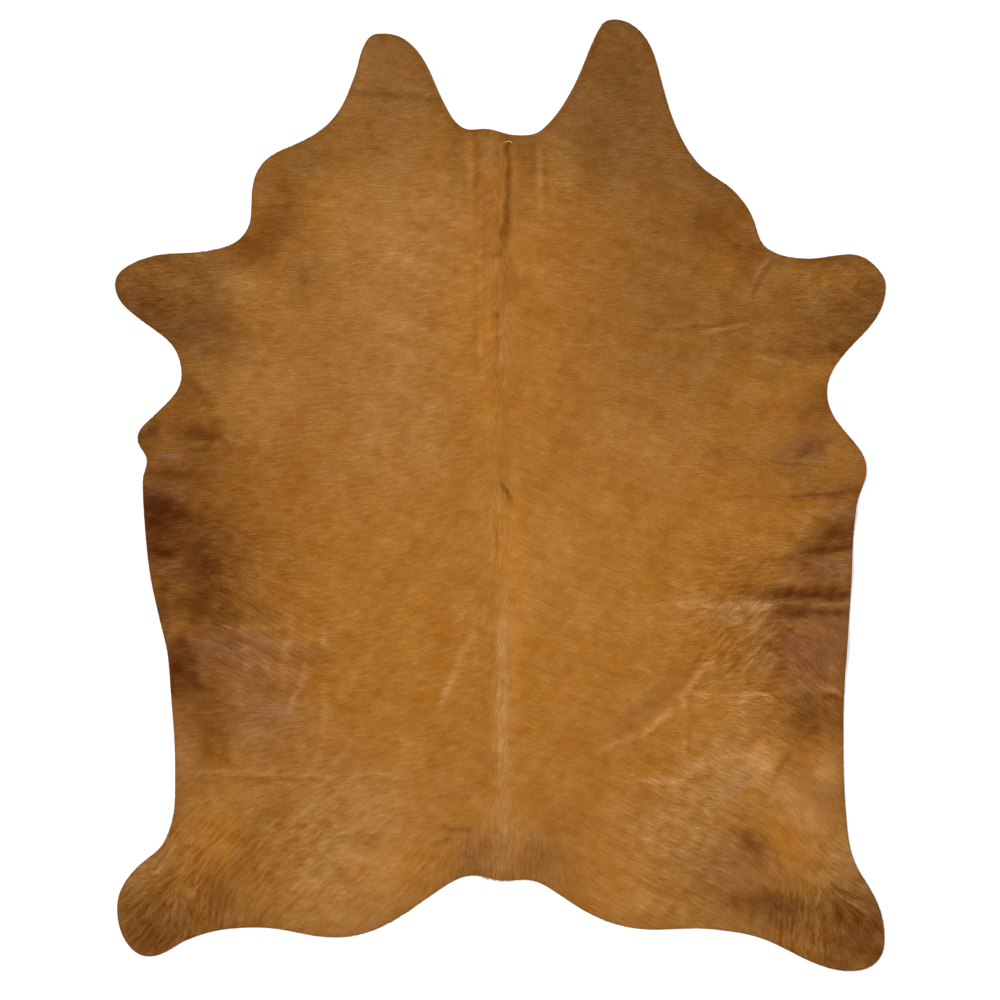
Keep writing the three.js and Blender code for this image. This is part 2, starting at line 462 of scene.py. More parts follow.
FAWN_PATCHES = (
    Patch("back", -0.21, 0.197, 0.07, 0.07, 0.17),
    Patch("left armpit", -0.671, 0.261, 0.02, 0.02, 0.42),
    Patch("left back", -0.245, 0.37, 0.12, 0.17, 0.45),
    Patch("left elbow", -0.613, 0.145, 0.026, 0.026, 0.36),
    Patch("left flank", -0.525, -0.36, 0.05, 0.04, 0.55),
    Patch("left foreleg joint", -0.61, 0.5, 0.055, 0.035, 0.5),
    Patch("left foreleg root", -0.57, 0.475, 0.065, 0.045, 0.3),
    Patch("left foreleg top", -0.703, 0.555, 0.03, 0.015, 0.35),
    Patch("left haunch", -0.36, -0.82, 0.15, 0.14, 0.62),
    Patch("left haunch", -0.321, -0.83, 0.028, 0.03, 0.6),
    Patch("left haunch", -0.318, -0.845, 0.024, 0.05, 0.5),
    Patch("left haunch", -0.324, -0.728, 0.07, 0.07, 0.15),
    Patch("left haunch", -0.439, -0.822, 0.022, 0.02, 0.5),
    Patch("left haunch", -0.29, -0.68, 0.15, 0.07, 0.38),
    Patch("left hind leg edge", -0.853, -0.886, 0.03, 0.03, 0.5),
    Patch("left hind leg", -0.807, -0.842, 0.03, 0.025, 0.72),
    # Painted sheen on the left long fold.
    Patch("left long fold", -0.4, -0.616, 0.03, 0.02, 0.4),
    Patch("left neck flap", -0.335, 0.955, 0.04, 0.08, 0.35),
    Patch("left neck flap", -0.25, 1.0, 0.09, 0.055, 0.22, crisp=2.0),
    Patch("left ribs", -0.25, 0.105, 0.15, 0.14, 0.36),
    Patch("left rump rim", -0.36, -0.97, 0.12, 0.05, 0.4),
    Patch("left rump rim", -0.349, -1.01, 0.04, 0.02, 0.7),
    Patch("left shoulder blade", -0.23, 0.615, 0.15, 0.15, 0.55),
    Patch("left shoulder", -0.423, 0.55, 0.03, 0.04, 0.24),
    Patch("left shoulder", -0.432, 0.43, 0.03, 0.025, 0.38),
    Patch("left side", -0.55, 0.235, 0.1, 0.1, 0.42),
    # Painted sheen on the left thigh fold.
    Patch("left thigh fold", -0.564, -0.646, 0.035, 0.015, 0.5),
    Patch("left thigh rim", -0.745, -0.6, 0.035, 0.06, 0.45),
    Patch("left thigh", -0.53, -0.515, 0.085, 0.05, 0.52),
    Patch("left thigh", -0.52, -0.679, 0.12, 0.03, 0.17),
    Patch("left thigh", -0.652, -0.708, 0.03, 0.025, 0.42),
    Patch("left thigh", -0.546, -0.604, 0.035, 0.025, 0.4),
    Patch("loin", 0.09, -0.15, 0.15, 0.15, 0.25),
    Patch("neck", -0.022, 0.786, 0.026, 0.045, 0.55, crisp=2.5),
    Patch("neck", -0.24, 0.93, 0.15, 0.16, 0.2),
    Patch("neck", -0.21, 0.8, 0.08, 0.08, 0.14),
    Patch("neck", 0.27, 0.93, 0.15, 0.18, 0.2),
    Patch("neck", 0.207, 0.8, 0.08, 0.08, 0.14),
    Patch("neck", 0.38, 0.752, 0.06, 0.06, 0.14),
    Patch("neck", 0.078, 0.618, 0.024, 0.01, 0.6),
    Patch("right armpit", 0.7, 0.248, 0.03, 0.025, 0.2),
    Patch("right belly", 0.739, -0.173, 0.045, 0.025, 0.5),
    Patch("right elbow", 0.681, 0.116, 0.04, 0.025, 0.4),
    Patch("right flank rim", 0.789, -0.408, 0.015, 0.025, 0.4),
    Patch("right flank", 0.578, -0.417, 0.03, 0.02, 0.4),
    Patch("right flank", 0.565, -0.275, 0.06, 0.024, 0.26),
    Patch("right haunch", 0.51, -0.665, 0.105, 0.052, 0.6, turn=-8, crisp=2.2),
    Patch("right haunch", 0.347, -0.741, 0.035, 0.026, 0.58),
    Patch("right haunch", 0.463, -0.815, 0.045, 0.03, 0.4),
    Patch("right haunch", 0.308, -0.886, 0.03, 0.03, 0.35),
    Patch("right haunch", 0.414, -0.785, 0.026, 0.026, 0.5),
    Patch("right haunch", 0.493, -0.757, 0.026, 0.022, 0.45),
    Patch("right haunch", 0.382, -0.771, 0.026, 0.024, 0.42),
    Patch("right haunch", 0.393, -0.838, 0.03, 0.025, 0.42),
    Patch("right haunch", 0.5, -0.875, 0.025, 0.02, 0.5),
    Patch("right haunch", 0.37, -0.78, 0.12, 0.075, 0.45),
    Patch("right haunch", 0.6, -0.69, 0.026, 0.026, 0.4),
    Patch("right haunch", 0.46, -0.755, 0.07, 0.09, 0.42),
    Patch("right haunch", 0.419, -0.785, 0.02, 0.02, 0.55),
    Patch("right hind leg", 0.745, -0.93, 0.035, 0.03, 0.3),
    Patch("right hind leg", 0.855, -0.915, 0.025, 0.03, 0.4),
    Patch("right hind rim", 0.576, -0.983, 0.04, 0.02, 0.42),
    Patch("right hock", 0.675, -0.665, 0.028, 0.036, 0.45),
    Patch("right hock", 0.752, -0.85, 0.035, 0.03, 0.64),
    Patch("right hock", 0.69, -0.735, 0.035, 0.03, 0.62),
    Patch("right hock", 0.694, -0.736, 0.025, 0.02, 0.55),
    Patch("right leg edge", 0.795, -0.835, 0.05, 0.07, 0.55),
    Patch("right leg edge", 0.856, -0.923, 0.02, 0.025, 0.5),
    Patch("right leg edge", 0.8, -0.808, 0.03, 0.03, 0.62),
    Patch("right leg root", 0.65, 0.548, 0.022, 0.02, 0.32),
    Patch("right leg", 0.606, 0.478, 0.02, 0.025, 0.38),
    Patch("right loin", 0.44, -0.27, 0.17, 0.03, 0.3),
    Patch("right loin", 0.475, -0.29, 0.035, 0.016, 0.36),
    # Painted sheen on the right long fold.
    Patch("right long fold", 0.433, -0.572, 0.025, 0.03, 0.45),
    Patch("right ribs", 0.345, 0.15, 0.14, 0.14, 0.22),
    Patch("right rump rim", 0.355, -0.945, 0.13, 0.045, 0.38),
    Patch("right rump rim", 0.377, -0.99, 0.05, 0.02, 0.45),
    Patch("right shoulder", 0.409, 0.39, 0.03, 0.02, 0.35),
    # Painted sheen on the right slanting fold.
    Patch("right slanting fold", 0.409, -0.475, 0.02, 0.02, 0.45),
    Patch("right thigh", 0.545, -0.61, 0.085, 0.055, 0.75, crisp=1.5),
    Patch("right thigh edge", 0.745, -0.625, 0.06, 0.045, 0.28),
    Patch("right thigh edge", 0.754, -0.646, 0.03, 0.025, 0.16),
    Patch("right thigh", 0.62, -0.415, 0.03, 0.02, 0.45),
    Patch("right thigh", 0.56, -0.515, 0.045, 0.03, 0.35),
    Patch("right thigh", 0.571, -0.556, 0.03, 0.02, 0.4),
    Patch("right thigh", 0.555, -0.475, 0.1, 0.05, 0.2),
    Patch("tail", 0.01, -0.8, 0.09, 0.07, 0.28),
)
RUST_AND_SHEEN_PATCHES = (
    # Painted sheen on the left belly crest.
    Patch("left belly crest", -0.775, 0.012, 0.045, 0.013, 0.5, crisp=1.5),
    Patch("left belly", -0.705, -0.17, 0.06, 0.06, 0.25),
    Patch("left belly", -0.762, -0.172, 0.045, 0.024, 0.3, crisp=1.5),
    # Painted sheen on the left elbow crest.
    Patch("left elbow crest", -0.773, 0.093, 0.05, 0.014, 0.6, crisp=1.5),
    Patch("left flank", -0.63, -0.35, 0.12, 0.05, 0.6, crisp=1.3),
    Patch("left foreleg root", -0.681, 0.355, 0.06, 0.045, 0.22),
    Patch("left of the tail", -0.04, -0.82, 0.07, 0.048, 0.44),
    Patch("left thigh", -0.56, -0.45, 0.1, 0.11, 0.38, crisp=1.5),
    Patch("left thigh edge", -0.73, -0.64, 0.03, 0.06, 0.25),
    Patch("left thigh", -0.545, -0.6, 0.12, 0.08, 0.18),
    Patch("left thigh", -0.53, -0.51, 0.085, 0.05, 0.22),
    Patch("left thigh", -0.65, -0.395, 0.05, 0.03, 0.35),
    Patch("neck", -0.022, 0.79, 0.024, 0.03, 0.2),
    Patch("right belly", 0.74, -0.175, 0.095, 0.036, 0.66, crisp=1.3),
    # Painted sheen on the right belly crest.
    Patch("right belly crest", 0.79, -0.046, 0.035, 0.013, 0.75, crisp=1.5),
    Patch("right belly rim", 0.807, -0.148, 0.022, 0.022, 0.4),
    Patch("right belly rim", 0.815, -0.07, 0.03, 0.04, 0.45),
    Patch("right cross fold", 0.66, -0.25, 0.05, 0.02, 0.34),
    Patch("right elbow", 0.704, 0.112, 0.06, 0.036, 0.5, turn=10, crisp=1.5),
    Patch("right elbow", 0.7, 0.155, 0.04, 0.03, 0.22),
    Patch("right flank", 0.72, -0.36, 0.105, 0.098, 0.7, crisp=1.3),
    Patch("right flank rim", 0.8, -0.31, 0.03, 0.06, 0.4),
    Patch("right flank", 0.56, -0.275, 0.07, 0.03, 0.22),
    Patch("right flank", 0.625, -0.294, 0.025, 0.02, 0.3),
    Patch("right haunch", 0.539, -0.667, 0.025, 0.02, 0.2),
    Patch("right hind leg", 0.665, -1.0, 0.06, 0.03, 0.3, turn=-25),
    Patch("right hock edge", 0.75, -0.682, 0.05, 0.045, 0.3),
    Patch("right hock", 0.55, -0.85, 0.1, 0.05, 0.45),
    Patch("right of the tail", 0.085, -0.822, 0.055, 0.045, 0.3),
    Patch("right shoulder", 0.35, 0.5, 0.05, 0.05, 0.14),
    Patch("right slanting swell", 0.325, -0.49, 0.1, 0.024, 0.34, turn=38),
)
OLIVE_PATCHES = (
    Patch("left armpit", -0.659, 0.263, 0.03, 0.03, 0.28),
    Patch("left armpit", -0.594, 0.312, 0.04, 0.03, 0.22),
    Patch("left belly", -0.795, -0.025, 0.05, 0.05, 0.85),
    Patch("left cheek", -0.5, 0.74, 0.085, 0.05, 0.42, turn=12),
    Patch("left cheek", -0.43, 0.788, 0.05, 0.035, 0.38),
    Patch("left elbow rim", -0.825, 0.14, 0.035, 0.035, 0.5),
    Patch("left flap tip", -0.254, 1.06, 0.07, 0.04, 0.28),
    Patch("left foreleg", -0.81, 0.45, 0.13, 0.09, 0.55),
    Patch("left foreleg rim", -0.779, 0.55, 0.03, 0.012, 0.42),
    Patch("left foreleg root", -0.675, 0.4, 0.09, 0.08, 0.58),
    Patch("left foreleg", -0.745, 0.345, 0.05, 0.03, 0.35),
    Patch("left foreleg", -0.666, 0.508, 0.05, 0.03, 0.3),
    Patch("left hind leg", -0.81, -0.98, 0.1, 0.09, 0.35),
    Patch("left neck", -0.31, 0.82, 0.14, 0.09, 0.2),
    Patch("left neck flap", -0.26, 0.97, 0.11, 0.13, 0.42),
    Patch("left shoulder", -0.423, 0.55, 0.03, 0.04, 0.16),
    Patch("left shoulder", -0.47, 0.51, 0.07, 0.05, 0.2),
    Patch("left thigh hollow", -0.68, -0.668, 0.03, 0.025, 0.35),
    Patch("neck", 0.05, 0.803, 0.025, 0.028, 0.4),
    Patch("neck", -0.2, 0.88, 0.2, 0.2, 0.1),
    Patch("neck", 0.25, 0.88, 0.2, 0.2, 0.12),
    Patch("neck", 0.045, 0.68, 0.024, 0.06, 0.26),
    Patch("neck", 0.062, 0.76, 0.025, 0.07, 0.18),
    Patch("right armpit", 0.675, 0.34, 0.05, 0.03, 0.3),
    Patch("right armpit", 0.629, 0.305, 0.03, 0.02, 0.3),
    Patch("right elbow rim", 0.805, 0.127, 0.02, 0.02, 0.3),
    Patch("right flap edge", 0.385, 0.89, 0.05, 0.06, 0.22),
    Patch("right flap", 0.278, 1.085, 0.06, 0.02, 0.3),
    Patch("right foreleg", 0.785, 0.42, 0.14, 0.09, 0.5),
    Patch("right foreleg rim", 0.805, 0.346, 0.02, 0.03, 0.4),
    Patch("right hind leg", 0.82, -0.995, 0.1, 0.11, 0.36),
    Patch("right hind leg root", 0.555, -0.945, 0.12, 0.05, 0.3, turn=-20),
    Patch("right leg root", 0.645, 0.55, 0.022, 0.02, 0.4),
    Patch("right loin", 0.323, -0.104, 0.09, 0.09, 0.05),
    Patch("right neck", 0.345, 0.765, 0.16, 0.12, 0.36),
    Patch("right neck edge", 0.505, 0.725, 0.06, 0.045, 0.42),
    Patch("right neck flap", 0.28, 0.985, 0.12, 0.18, 0.62),
    Patch("right neck", 0.2, 0.83, 0.1, 0.09, 0.3),
    Patch("right neck", 0.456, 0.76, 0.05, 0.04, 0.26),
    Patch("right ribs", 0.44, 0.29, 0.2, 0.12, 0.15),
    Patch("right shoulder", 0.585, 0.414, 0.03, 0.025, 0.3),
    Patch("right shoulder", 0.52, 0.45, 0.032, 0.045, 0.3),
    Patch("right shoulder", 0.44, 0.5, 0.21, 0.2, 0.3),
    Patch("right side", 0.629, 0.266, 0.03, 0.025, 0.34),
    Patch("right withers", 0.024, 0.51, 0.014, 0.06, 0.3),
    Patch("tail", -0.051, -0.872, 0.03, 0.02, 0.3),
    Patch("tail", 0.1, -0.85, 0.04, 0.04, 0.18),
)
UMBER_AND_SHADE_PATCHES = (
    Patch("back", 0.138, 0.082, 0.08, 0.08, 0.07),
    Patch("croup", -0.006, -0.443, 0.008, 0.005, 0.55),
    Patch("left armpit rim", -0.725, 0.225, 0.045, 0.035, 0.42, turn=20),
    Patch("left armpit rim", -0.728, 0.272, 0.025, 0.025, 0.34),
    Patch("left belly crest", -0.818, 0.011, 0.018, 0.014, 0.28),
    Patch("left belly rim", -0.784, -0.262, 0.026, 0.035, 0.62),
    Patch("left belly rim", -0.782, -0.282, 0.018, 0.02, 0.36),
    Patch("left belly rim", -0.796, -0.206, 0.02, 0.025, 0.22),
    Patch("left belly rim", -0.809, -0.091, 0.02, 0.025, 0.38),
    Patch("left belly rim", -0.776, -0.208, 0.015, 0.014, 0.5),
    Patch("left belly rim", -0.822, 0.012, 0.018, 0.014, 0.36),
    Patch("left belly", -0.738, -0.045, 0.04, 0.03, 0.5),
    Patch("left belly", -0.73, -0.09, 0.04, 0.04, 0.25),
    Patch("left belly", -0.68, -0.13, 0.15, 0.24, 0.36),
    Patch("left belly", -0.818, -0.015, 0.025, 0.018, 0.6),
    Patch("left belly", -0.785, -0.052, 0.055, 0.046, 0.76, crisp=2.0),
    Patch("left belly", -0.695, -0.15, 0.09, 0.12, 0.3),
    Patch("left belly", -0.772, -0.111, 0.022, 0.02, 0.34),
    Patch("left belly", -0.802, -0.151, 0.025, 0.02, 0.38),
    Patch("left belly", -0.785, -0.118, 0.055, 0.03, 0.5),
    Patch("left belly", -0.72, -0.255, 0.04, 0.03, 0.32),
    Patch("left belly", -0.684, -0.163, 0.045, 0.045, 0.5, crisp=1.3),
    Patch("left belly", -0.79, 0.055, 0.06, 0.025, 0.45),
    Patch("left belly", -0.7, 0.02, 0.045, 0.02, 0.28),
    Patch("left elbow", -0.69, 0.146, 0.065, 0.032, 0.36, crisp=1.5),
    Patch("left elbow tip", -0.81, 0.146, 0.03, 0.03, 0.5),
    Patch("left elbow", -0.735, 0.145, 0.08, 0.06, 0.3),
    Patch("left elbow", -0.69, 0.085, 0.06, 0.024, 0.3),
    Patch("left flank mark", -0.42, -0.37, 0.032, 0.024, 0.34),
    Patch("left flank rim", -0.745, -0.392, 0.05, 0.055, 0.8, crisp=1.3),
    Patch("left flank rim", -0.745, -0.452, 0.03, 0.03, 0.4),
    Patch("left flank rim", -0.7, -0.495, 0.06, 0.075, 0.42),
    Patch("left flank rim", -0.754, -0.442, 0.02, 0.025, 0.38),
    Patch("left flank rim", -0.706, -0.43, 0.036, 0.02, 0.6, turn=-45),
    Patch("left flank rim", -0.739, -0.343, 0.014, 0.012, 0.5),
    Patch("left flank rim", -0.773, -0.322, 0.02, 0.028, 0.32),
    Patch("left flank", -0.65, -0.285, 0.045, 0.03, 0.28),
    Patch("left flank", -0.463, -0.365, 0.02, 0.024, 0.34),
    Patch("left flank", -0.43, -0.404, 0.03, 0.06, 0.06),
    Patch("left flank", -0.692, -0.27, 0.018, 0.014, 0.42),
    Patch("left flank", -0.534, -0.273, 0.03, 0.02, 0.3),
    Patch("left flank", -0.44, -0.402, 0.03, 0.03, 0.14),
    Patch("left flank", -0.686, -0.229, 0.02, 0.018, 0.42),
    Patch("left flank", -0.655, -0.26, 0.08, 0.045, 0.32),
    Patch("left foreleg sole", -0.765, 0.394, 0.08, 0.04, 0.25, turn=-30),
    Patch("left foreleg tip", -0.857, 0.45, 0.05, 0.05, 0.25),
    Patch("left foreleg top", -0.73, 0.54, 0.12, 0.024, 0.2),
    Patch("left foreleg", -0.876, 0.457, 0.02, 0.03, 0.34),
    Patch("left foreleg", -0.83, 0.411, 0.03, 0.025, 0.24),
    Patch("left foreleg", -0.754, 0.49, 0.03, 0.02, 0.14),
    Patch("left foreleg", -0.879, 0.508, 0.022, 0.02, 0.4),
    Patch("left haunch", -0.6, -0.86, 0.07, 0.1, 0.15),
    Patch("left haunch", -0.594, -0.842, 0.025, 0.025, 0.24),
    Patch("left hind leg rim", -0.625, -0.985, 0.08, 0.03, 0.22),
    Patch("left hind leg tip", -0.815, -0.994, 0.08, 0.06, 0.2),
    Patch("left hind leg", -0.8, -0.98, 0.1, 0.09, 0.22),
    Patch("left hind leg", -0.733, -1.0, 0.025, 0.02, 0.28),
    Patch("left hind leg", -0.636, -0.949, 0.025, 0.022, 0.24),
    Patch("left hind leg", -0.807, -1.045, 0.05, 0.025, 0.36),
    Patch("left hock spot", -0.655, -0.905, 0.035, 0.045, 0.42),
    Patch("left ribs", -0.506, 0.092, 0.03, 0.025, 0.16),
    Patch("left ribs", -0.409, 0.053, 0.035, 0.03, 0.12),
    Patch("left shoulder notch", -0.6, 0.585, 0.04, 0.03, 0.35),
    # Painted shade in the left shoulder pit.
    Patch("left shoulder pit", -0.555, 0.575, 0.075, 0.04, 0.48, turn=25),
    Patch("left shoulder rim", -0.515, 0.635, 0.075, 0.05, 0.42),
    Patch("left shoulder", -0.483, 0.69, 0.04, 0.03, 0.22),
    Patch("left shoulder", -0.525, 0.615, 0.035, 0.03, 0.13),
    Patch("left side", -0.57, -0.01, 0.15, 0.2, 0.14),
    Patch("left thigh", -0.677, -0.594, 0.03, 0.024, 0.32),
    Patch("left thigh", -0.564, -0.766, 0.025, 0.025, 0.22),
    Patch("left thigh", -0.66, -0.535, 0.05, 0.05, 0.3),
    Patch("right armpit", 0.71, 0.215, 0.05, 0.05, 0.2),
    Patch("right armpit rim", 0.748, 0.213, 0.03, 0.04, 0.3),
    Patch("right armpit stripe", 0.715, 0.2, 0.04, 0.012, 0.25),
    Patch("right belly rim", 0.815, -0.1, 0.02, 0.02, 0.34),
    Patch("right belly", 0.71, -0.125, 0.05, 0.03, 0.2, turn=12),
    Patch("right belly", 0.715, -0.152, 0.05, 0.028, 0.22),
    Patch("right belly", 0.81, 0.005, 0.06, 0.028, 0.45),
    Patch("right belly", 0.77, -0.09, 0.065, 0.034, 0.66, turn=8, crisp=1.5),
    Patch("right cross fold", 0.622, -0.248, 0.014, 0.01, 0.3),
    Patch("right elbow", 0.69, 0.06, 0.13, 0.06, 0.24),
    Patch("right flank rim", 0.784, -0.484, 0.02, 0.02, 0.22),
    Patch("right flank rim", 0.797, -0.3, 0.02, 0.03, 0.26),
    Patch("right flank smudge", 0.65, -0.328, 0.02, 0.018, 0.5),
    Patch("right flank whorl", 0.56, -0.2, 0.05, 0.05, 0.15),
    Patch("right flank", 0.727, -0.335, 0.1, 0.2, 0.1),
    Patch("right flank", 0.759, -0.308, 0.025, 0.02, 0.24),
    Patch("right foreleg heel", 0.767, 0.341, 0.05, 0.02, 0.45, turn=15),
    Patch("right foreleg tip", 0.86, 0.475, 0.035, 0.045, 0.34),
    Patch("right foreleg top", 0.8, 0.548, 0.07, 0.022, 0.32),
    Patch("right foreleg", 0.877, 0.439, 0.02, 0.03, 0.25),
    Patch("right foreleg", 0.789, 0.328, 0.025, 0.02, 0.3),
    Patch("right foreleg", 0.845, 0.388, 0.04, 0.03, 0.3),
    Patch("right haunch", 0.541, -0.664, 0.022, 0.022, 0.22),
    Patch("right hind leg rim", 0.872, -0.974, 0.02, 0.025, 0.34),
    Patch("right hind leg tip", 0.827, -1.0, 0.065, 0.085, 0.36),
    Patch("right hind leg", 0.81, -0.99, 0.1, 0.11, 0.14),
    Patch("right hind leg", 0.868, -1.068, 0.03, 0.03, 0.45),
    Patch("right hind leg", 0.842, -1.02, 0.03, 0.025, 0.28),
    Patch("right hind leg", 0.766, -1.082, 0.06, 0.02, 0.34),
    Patch("right hock spot", 0.584, -0.804, 0.036, 0.028, 0.5, turn=-40),
    Patch("right hock", 0.653, -0.947, 0.062, 0.035, 0.5, turn=-15),
    Patch("right neck flap tip", 0.3, 1.03, 0.07, 0.1, 0.1),
    Patch("right shoulder", 0.47, 0.635, 0.05, 0.05, 0.5),
    # Painted shade in the right shoulder pit: this patch and the next.
    Patch("right shoulder pit", 0.565, 0.568, 0.05, 0.036, 0.5),
    Patch("right shoulder pit", 0.583, 0.518, 0.03, 0.04, 0.26),
    Patch("right shoulder rim", 0.53, 0.65, 0.05, 0.05, 0.28),
    Patch("right shoulder", 0.531, 0.462, 0.018, 0.045, 0.1),
    Patch("right shoulder", 0.52, 0.612, 0.05, 0.05, 0.08),
    Patch("right side", 0.53, 0.095, 0.09, 0.02, 0.2, turn=-4),
    Patch("right thigh fold", 0.72, -0.515, 0.07, 0.05, 0.5),
    Patch("right thigh rim", 0.786, -0.535, 0.03, 0.025, 0.3),
    Patch("right thigh", 0.696, -0.458, 0.025, 0.018, 0.22),
    Patch("spine", -0.005, 0.414, 0.009, 0.008, 0.7),
    Patch("tail", 0.138, -0.775, 0.06, 0.07, 0.1),
)
# Painted sheen: highlights on fold and wave crests and on ruffled hair.
PAINTED_SHEEN_PATCHES = (
    Patch("left flank", -0.593, -0.355, 0.009, 0.005, 0.4),
    Patch("left foreleg rim", -0.696, 0.555, 0.02, 0.01, 0.1),
    Patch("left haunch", -0.323, -0.832, 0.02, 0.026, 0.24),
    Patch("left hind leg rim", -0.819, -0.861, 0.02, 0.015, 0.13),
    Patch("left hind leg", -0.775, -0.832, 0.035, 0.02, 0.1),
    Patch("left hock", -0.445, -0.904, 0.028, 0.022, 0.3),
    Patch("neck edge", 0.093, 0.832, 0.03, 0.01, 0.1),
    Patch("right belly crest", 0.785, -0.046, 0.028, 0.01, 0.14),
    Patch("right cross fold", 0.803, -0.247, 0.01, 0.032, 0.12),
    Patch("right flank", 0.609, -0.287, 0.007, 0.01, 0.4),
    Patch("right flank", 0.6, -0.283, 0.018, 0.016, 0.38),
    Patch("right haunch", 0.598, -0.605, 0.024, 0.024, 0.42),
    Patch("right haunch", 0.419, -0.782, 0.018, 0.018, 0.13),
    Patch("right haunch", 0.43, -0.704, 0.02, 0.02, 0.16),
    Patch("right haunch", 0.56, -0.64, 0.08, 0.052, 0.09, turn=-10, crisp=2.0),
    Patch("right hock", 0.692, -0.733, 0.022, 0.016, 0.14),
    Patch("right hock", 0.754, -0.852, 0.022, 0.02, 0.1),
    Patch("right leg edge", 0.8, -0.81, 0.02, 0.02, 0.13),
    Patch("right loin", 0.347, -0.281, 0.006, 0.007, 0.32),
    Patch("right rump rim", 0.484, -0.995, 0.04, 0.012, 0.1),
    Patch("right slanting fold", 0.433, -0.569, 0.014, 0.012, 0.15),
    Patch("right thigh edge", 0.753, -0.645, 0.026, 0.022, 0.25),
    Patch("right thigh", 0.55, -0.485, 0.02, 0.017, 0.5),
)
GOLD_STREAKS = (
    Streak("back", (0.026, 0.02), (0.024, -0.29), 0.013, 0.75),
    Streak("croup", (0.034, -0.24), (0.036, -0.48), 0.012, 0.5),
    Streak("croup", (0.006, 0.06), (0.005, -0.7), 0.02, 0.8, bow=-0.001),
    # Painted shade in the trough left of the neck ridge.
    Streak("neck", (-0.059, 0.93), (-0.054, 0.6), 0.009, 0.6),
    Streak("neck", (-0.105, 0.93), (-0.1, 0.66), 0.02, 0.45),
    # Painted shade in the trough right of the neck ridge.
    Streak("neck", (0.011, 0.93), (0.003, 0.53), 0.014, 0.85, bow=0.012),
    Streak("right shoulder", (0.36, 0.372), (0.5, 0.36), 0.01, 0.4),
    Streak("right thigh", (0.625, -0.54), (0.625, -0.67), 0.015, 0.6),
    Streak("withers", (-0.034, 0.55), (-0.032, 0.255), 0.013, 0.5),
)
FAWN_STREAKS = (
    Streak("croup", (0.004, -0.16), (0.004, -0.8), 0.022, 0.44, bow=0.001),
    Streak("croup", (0.006, -0.27), (0.004, -0.66), 0.018, 0.4),
    Streak("left hind leg", (-0.762, -0.846), (-0.82, -0.896), 0.004, 0.4),
    Streak("left hind leg", (-0.767, -0.87), (-0.808, -0.914), 0.004, 0.4),
    Streak("left hind leg", (-0.753, -0.905), (-0.748, -1.015), 0.004, 0.4, bow=0.003),
    Streak("left neck flap", (-0.44, 0.958), (-0.05, 0.926), 0.008, 0.35),
    Streak("right hind leg", (0.748, -0.876), (0.795, -0.91), 0.004, 0.45),
    Streak("right hind leg", (0.8, -0.926), (0.885, -0.976), 0.004, 0.45, bow=0.004),
    Streak("right hind leg", (0.805, -0.912), (0.87, -0.945), 0.004, 0.4, bow=0.003),
    Streak("right hind leg", (0.765, -0.955), (0.782, -1.012), 0.004, 0.45, bow=0.002),
    Streak("right hind leg", (0.753, -0.96), (0.743, -1.035), 0.004, 0.4, bow=-0.002),
    Streak("right hock", (0.625, -0.635), (0.757, -0.81), 0.03, 0.72),
    Streak("tail", (0.007, -0.67), (0.01, -0.89), 0.03, 0.45),
    Streak("withers", (0.006, 0.47), (0.008, 0.22), 0.013, 0.3),
)
RUST_STREAKS = (
    Streak("left flank fold", (-0.435, -0.345), (-0.497, -0.51), 0.012, 0.36, bow=0.003),
    # Painted shade below the right belly wrinkle.
    Streak("right belly", (0.68, -0.006), (0.76, 0.0), 0.009, 0.4),
)
OLIVE_STREAKS = (
    Streak("left shoulder", (-0.455, 0.555), (-0.459, 0.415), 0.014, 0.3),
    Streak("left side", (-0.043, 0.7), (-0.042, 0.36), 0.006, 0.22),
    Streak("neck", (-0.105, 0.93), (-0.1, 0.66), 0.018, 0.42),
    Streak("neck", (0.075, 0.825), (0.077, 0.735), 0.009, 0.35),
)
